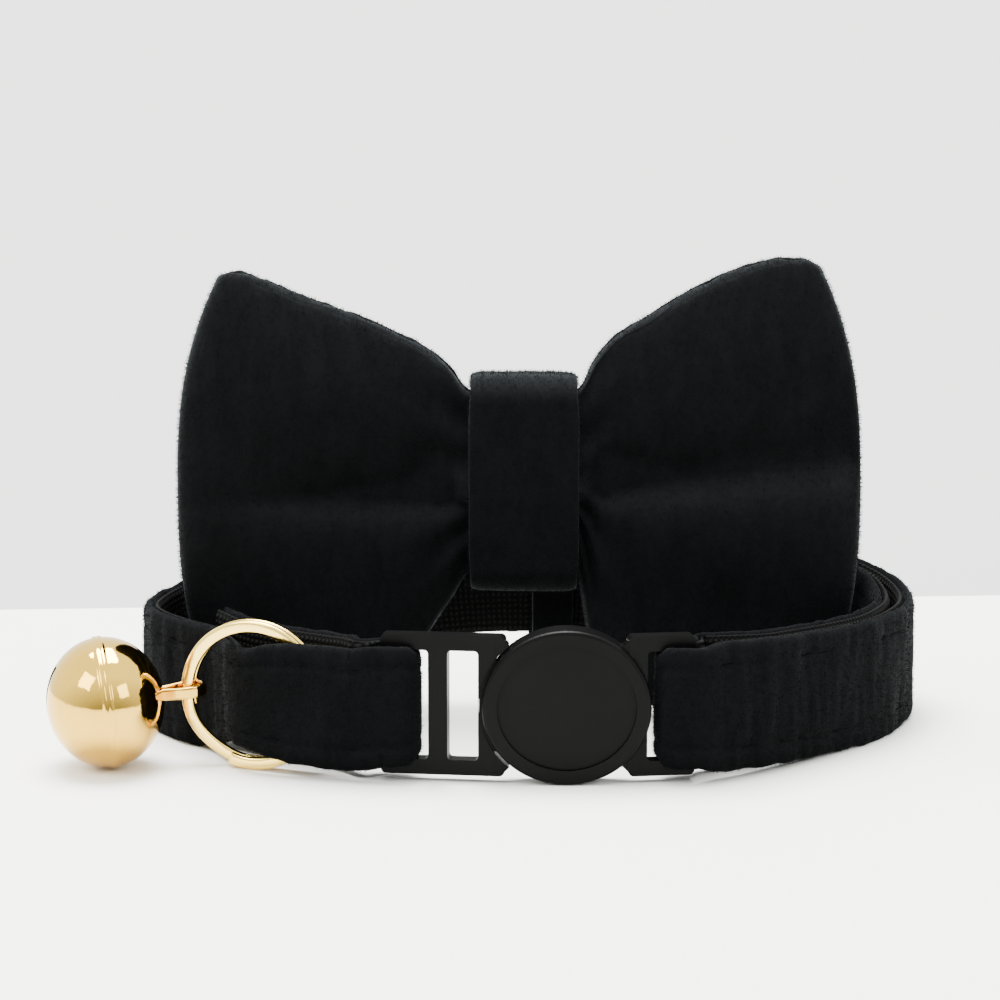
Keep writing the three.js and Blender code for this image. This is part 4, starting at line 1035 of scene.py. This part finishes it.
class COLLAR_OT_bell(bpy.types.Operator):
    """Make the polished bell with its seam, slot and eye"""

    bl_idname = "collar.bell"
    bl_label = "Bell"

    def execute(self, context):
        shell = self.shell()
        self.cut_slot(shell)
        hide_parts("bell_shell")
        self.eye()
        context.view_layer.update()
        return {"FINISHED"}

    def bell_frame(self):
        """Centre and axes of the bell: its eye hangs on the ring's left side."""
        centre, right, _ = ring_frame()
        wire = centre - right * (RING_DIAMETER - RING_BAND) / 2
        reach = BELL_LENGTH / 2 + EYE_NECK
        tilt = math.asin((wire[2] - BELL_DIAMETER / 2) / reach)
        cos = math.cos(tilt)
        middle = np.array([
            wire[0] - reach * cos * math.cos(BELL_TURN_BACK),
            wire[1] - reach * cos * math.sin(BELL_TURN_BACK), BELL_DIAMETER / 2,
        ])
        axis = unit(wire - middle)
        side = unit(np.cross([0, 0, 1.0], axis))
        return middle, np.stack([axis, side, np.cross(axis, side)]), reach

    def shell(self):
        """Outer and inner half circles turned round the bell's axis, the outer with its seam ridge."""
        middle, axes, _ = self.bell_frame()
        seam = BELL_SEAM_HEIGHT
        radius, half = BELL_DIAMETER / 2 - seam, BELL_LENGTH / 2
        angle = np.linspace(-math.pi / 2, math.pi / 2, 181)
        x, r = half * np.sin(angle), radius * np.cos(angle)
        joint = 1 - BELL_JOINT_DEPTH * np.exp(-(x / BELL_JOINT_WIDTH) ** 2)
        r = r + seam * smoothstep(BELL_SEAM_WIDTH / 2 - np.abs(x), *BELL_SEAM_EASE) * joint
        inner = [(half - BELL_WALL) * np.sin(angle), (radius - BELL_WALL) * np.cos(angle)]
        around = np.linspace(0, 2 * math.pi, 192, endpoint=False)
        points, faces = [], []
        for which, (px, pr) in enumerate(((x, r), inner)):
            pr = np.maximum(pr, BELL_POLE)
            ring = np.stack([
                np.broadcast_to(px[:, None], (len(px), len(around))),
                pr[:, None] * np.cos(around), pr[:, None] * np.sin(around),
            ], -1)
            quads = grid_faces(len(px), len(around), False, True)
            faces.append((quads[:, ::-1] if which else quads) + which * len(px) * len(around))
            points.append(ring.reshape(-1, 3))
        local = np.vstack(points)
        caps = []
        for which in (0, 1):
            base = which * len(angle) * len(around)
            low, high = (base + cap for cap in end_caps(len(angle), len(around)))
            caps += [low, high] if which == 0 else [low[::-1], high[::-1]]
        points = middle + local @ axes
        return new_piece("bell_polished", points, np.vstack(faces), "bell_gold", caps=caps)

    def cut_slot(self, shell):
        """Cuts the narrow slot in the pole away from the eye."""
        middle, axes, _ = self.bell_frame()
        corners = np.array([(x, y, z) for x in (-1.0, -0.25) for y in (-0.5, 0.5) for z in (-0.5, 0.5)])
        corners *= (BELL_LENGTH, BELL_SLOT_WIDTH, BELL_SLOT_LENGTH)
        mesh = bpy.data.meshes.new("slot_cutter")
        faces = [(0, 1, 3, 2), (4, 6, 7, 5), (0, 4, 5, 1), (2, 3, 7, 6), (0, 2, 6, 4), (1, 5, 7, 3)]
        mesh.from_pydata([tuple(p) for p in placed(middle + corners @ axes)], [], faces)
        cutter = bpy.data.objects.new("slot_cutter", mesh)
        bpy.context.scene.collection.objects.link(cutter)
        cut = shell.modifiers.new("slot", "BOOLEAN")
        cut.object = cutter
        cut.solver = "EXACT"
        with bpy.context.temp_override(object=shell, active_object=shell, selected_objects=[shell]):
            bpy.ops.object.modifier_apply(modifier=cut.name)
        bpy.data.objects.remove(cutter)
        bpy.data.meshes.remove(mesh)

    def eye(self):
        """A flat strip bent into a loop round the ring's wire."""
        middle, axes, reach = self.bell_frame()
        hole = (2 * RING_WIRE + RING_TURN_GAP + RING_BAND) * EYE_HOLE_SHARE + EYE_GAP
        radius = hole + EYE_STRIP / 2
        angle = np.linspace(-math.pi / 2, math.pi / 2, 40)
        tip = np.stack([reach + radius * np.cos(angle), radius * np.sin(angle)], -1)
        root = BELL_LENGTH / 2 - BELL_WALL * EYE_ROOT_SHARE
        blend = np.linspace(0, 1, 14)[:-1, None]
        foot = np.array([root, -radius * EYE_FOOT])
        lower = foot + (tip[0] - foot) * blend
        lower[:, 1] = -radius * (EYE_FOOT + (1 - EYE_FOOT) * smoothstep(blend[:, 0], 0, 1))
        upper = lower[::-1] * (1, -1)
        line = np.vstack([lower, tip, upper])
        ahead = unit(np.gradient(line, axis=0))
        outward = np.stack([ahead[:, 1], -ahead[:, 0]], -1)
        out, tall = rounded_section(20, 4) * np.array([[EYE_STRIP / 2], [EYE_HEIGHT / 2]])
        flat = line[:, None, :] + outward[:, None, :] * out[None, :, None]
        local = np.concatenate([flat, np.broadcast_to(tall[None, :, None], (*flat.shape[:2], 1))], -1)
        faces = grid_faces(len(line), len(out), False, True)
        caps = end_caps(len(line), len(out))
        return new_piece("bell_eye", middle + local @ axes, faces, "bell_gold", caps=caps)


class COLLAR_OT_fittings(bpy.types.Operator):
    """Give the buckle, slider and pellet their moulded and steel finishes"""

    bl_idname = "collar.fittings"
    bl_label = "Fittings"

    def execute(self, context):
        finishes = {
            "buckle_tongue": "buckle_plastic", "buckle_socket": "buckle_plastic",
            "slider": "buckle_plastic", "bell_pellet": "pellet_steel",
        }
        for node, finish in finishes.items():
            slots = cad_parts[node].data.materials
            slots.clear()
            slots.append(collar_material(finish))
        return {"FINISHED"}


class COLLAR_OT_stage(bpy.types.Operator):
    """Make the pale table, the soft lights and the camera"""

    bl_idname = "collar.stage"
    bl_label = "Stage"

    def execute(self, context):
        self.table()
        self.world(context)
        self.lights(context)
        self.camera(context)
        return {"FINISHED"}

    def table(self):
        """A pale table top that ends behind the collar, where the plain wall begins."""
        x, lean = TABLE_SIDE, TABLE_SIDE * TABLE_EDGE_LEAN
        corners = placed([
            (-x, TABLE_FRONT, 0), (x, TABLE_FRONT, 0), (x, TABLE_BACK + lean, 0), (-x, TABLE_BACK - lean, 0),
        ])
        mesh = bpy.data.meshes.new("table_top")
        mesh.from_pydata([tuple(p) for p in corners], [], [(0, 1, 2, 3)])
        material = bpy.data.materials.new("table_paint")
        material.use_nodes = True
        shader = material.node_tree.nodes["Principled BSDF"]
        shader.inputs["Base Color"].default_value = (*TABLE_COLOUR, 1)
        shader.inputs["Roughness"].default_value = 0.6
        mesh.materials.append(material)
        table = bpy.data.objects.new("table_top", mesh)
        bpy.context.scene.collection.objects.link(table)

    def world(self, context):
        """A pale wall colour, brighter above and behind the collar than in front of it."""
        world = bpy.data.worlds.new("pale_wall")
        world.use_nodes = True
        tree = world.node_tree
        background = tree.nodes["Background"]
        background.inputs["Color"].default_value = (*WALL_COLOUR, 1)
        facing = add_node(tree, "ShaderNodeVectorMath", operation="DOT_PRODUCT")
        facing.inputs[1].default_value = WALL_BRIGHT_WAY
        tree.links.new(tree.nodes.new("ShaderNodeTexCoord").outputs["Generated"], facing.inputs[0])
        low, high = WALL_STRENGTH
        level = add_range(tree, facing.outputs["Value"], From_Min=-0.6, From_Max=0.4, To_Min=low, To_Max=high)
        tree.links.new(level.outputs["Result"], background.inputs["Strength"])
        context.scene.world = world

    def lights(self, context):
        """A large soft window light from the upper left, a fill from the right and one from above."""
        target = Vector(placed(LIGHT_TARGET))
        for name, place, size, power in LIGHTS:
            light = bpy.data.lights.new(name, "AREA")
            light.shape = "SQUARE"
            light.size = size * MM
            light.energy = power
            lamp = bpy.data.objects.new(name, light)
            lamp.location = placed(place)
            lamp.rotation_euler = (target - lamp.location).to_track_quat("-Z", "Y").to_euler()
            context.scene.collection.objects.link(lamp)

    def camera(self, context):
        """A long lens in front of the collar and a little above it."""
        camera = bpy.data.cameras.new("front_camera")
        camera.lens = context.scene.collar.lens
        camera.sensor_width = 36.0
        camera.clip_start = 0.01
        eye = bpy.data.objects.new("front_camera", camera)
        eye.location = placed(CAMERA_PLACE)
        eye.rotation_euler = (math.pi / 2 - CAMERA_PITCH, 0, 0)
        context.scene.collection.objects.link(eye)
        context.scene.camera = eye


class COLLAR_PT_panel(bpy.types.Panel):
    """Sidebar panel with the collar's sizes and steps"""

    bl_idname = "COLLAR_PT_panel"
    bl_label = "Collar"
    bl_space_type = "VIEW_3D"
    bl_region_type = "UI"
    bl_category = "Collar"

    def draw(self, context):
        settings = context.scene.collar
        for name in settings.__annotations__:
            self.layout.prop(settings, name)
        for step in STEPS:
            self.layout.operator(step.bl_idname)


STEPS = (
    COLLAR_OT_stage, COLLAR_OT_strap, COLLAR_OT_bow, COLLAR_OT_knot,
    COLLAR_OT_ring, COLLAR_OT_bell, COLLAR_OT_fittings,
)
CLASSES = (CollarSettings, *STEPS, COLLAR_PT_panel)


def register():
    """Registers the collar's classes and its settings."""
    for item in CLASSES:
        bpy.utils.register_class(item)
    bpy.types.Scene.collar = bpy.props.PointerProperty(type=CollarSettings)


def unregister():
    """Takes the collar's classes and settings away again."""
    del bpy.types.Scene.collar
    for item in reversed(CLASSES):
        bpy.utils.unregister_class(item)


def main():
    """Dresses the collar step by step."""
    register()
    bpy.ops.collar.stage()
    bpy.ops.collar.strap()
    bpy.ops.collar.bow()
    bpy.ops.collar.knot()
    bpy.ops.collar.ring()
    bpy.ops.collar.bell()
    bpy.ops.collar.fittings()
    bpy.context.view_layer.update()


if __name__ == "__main__":
    main()
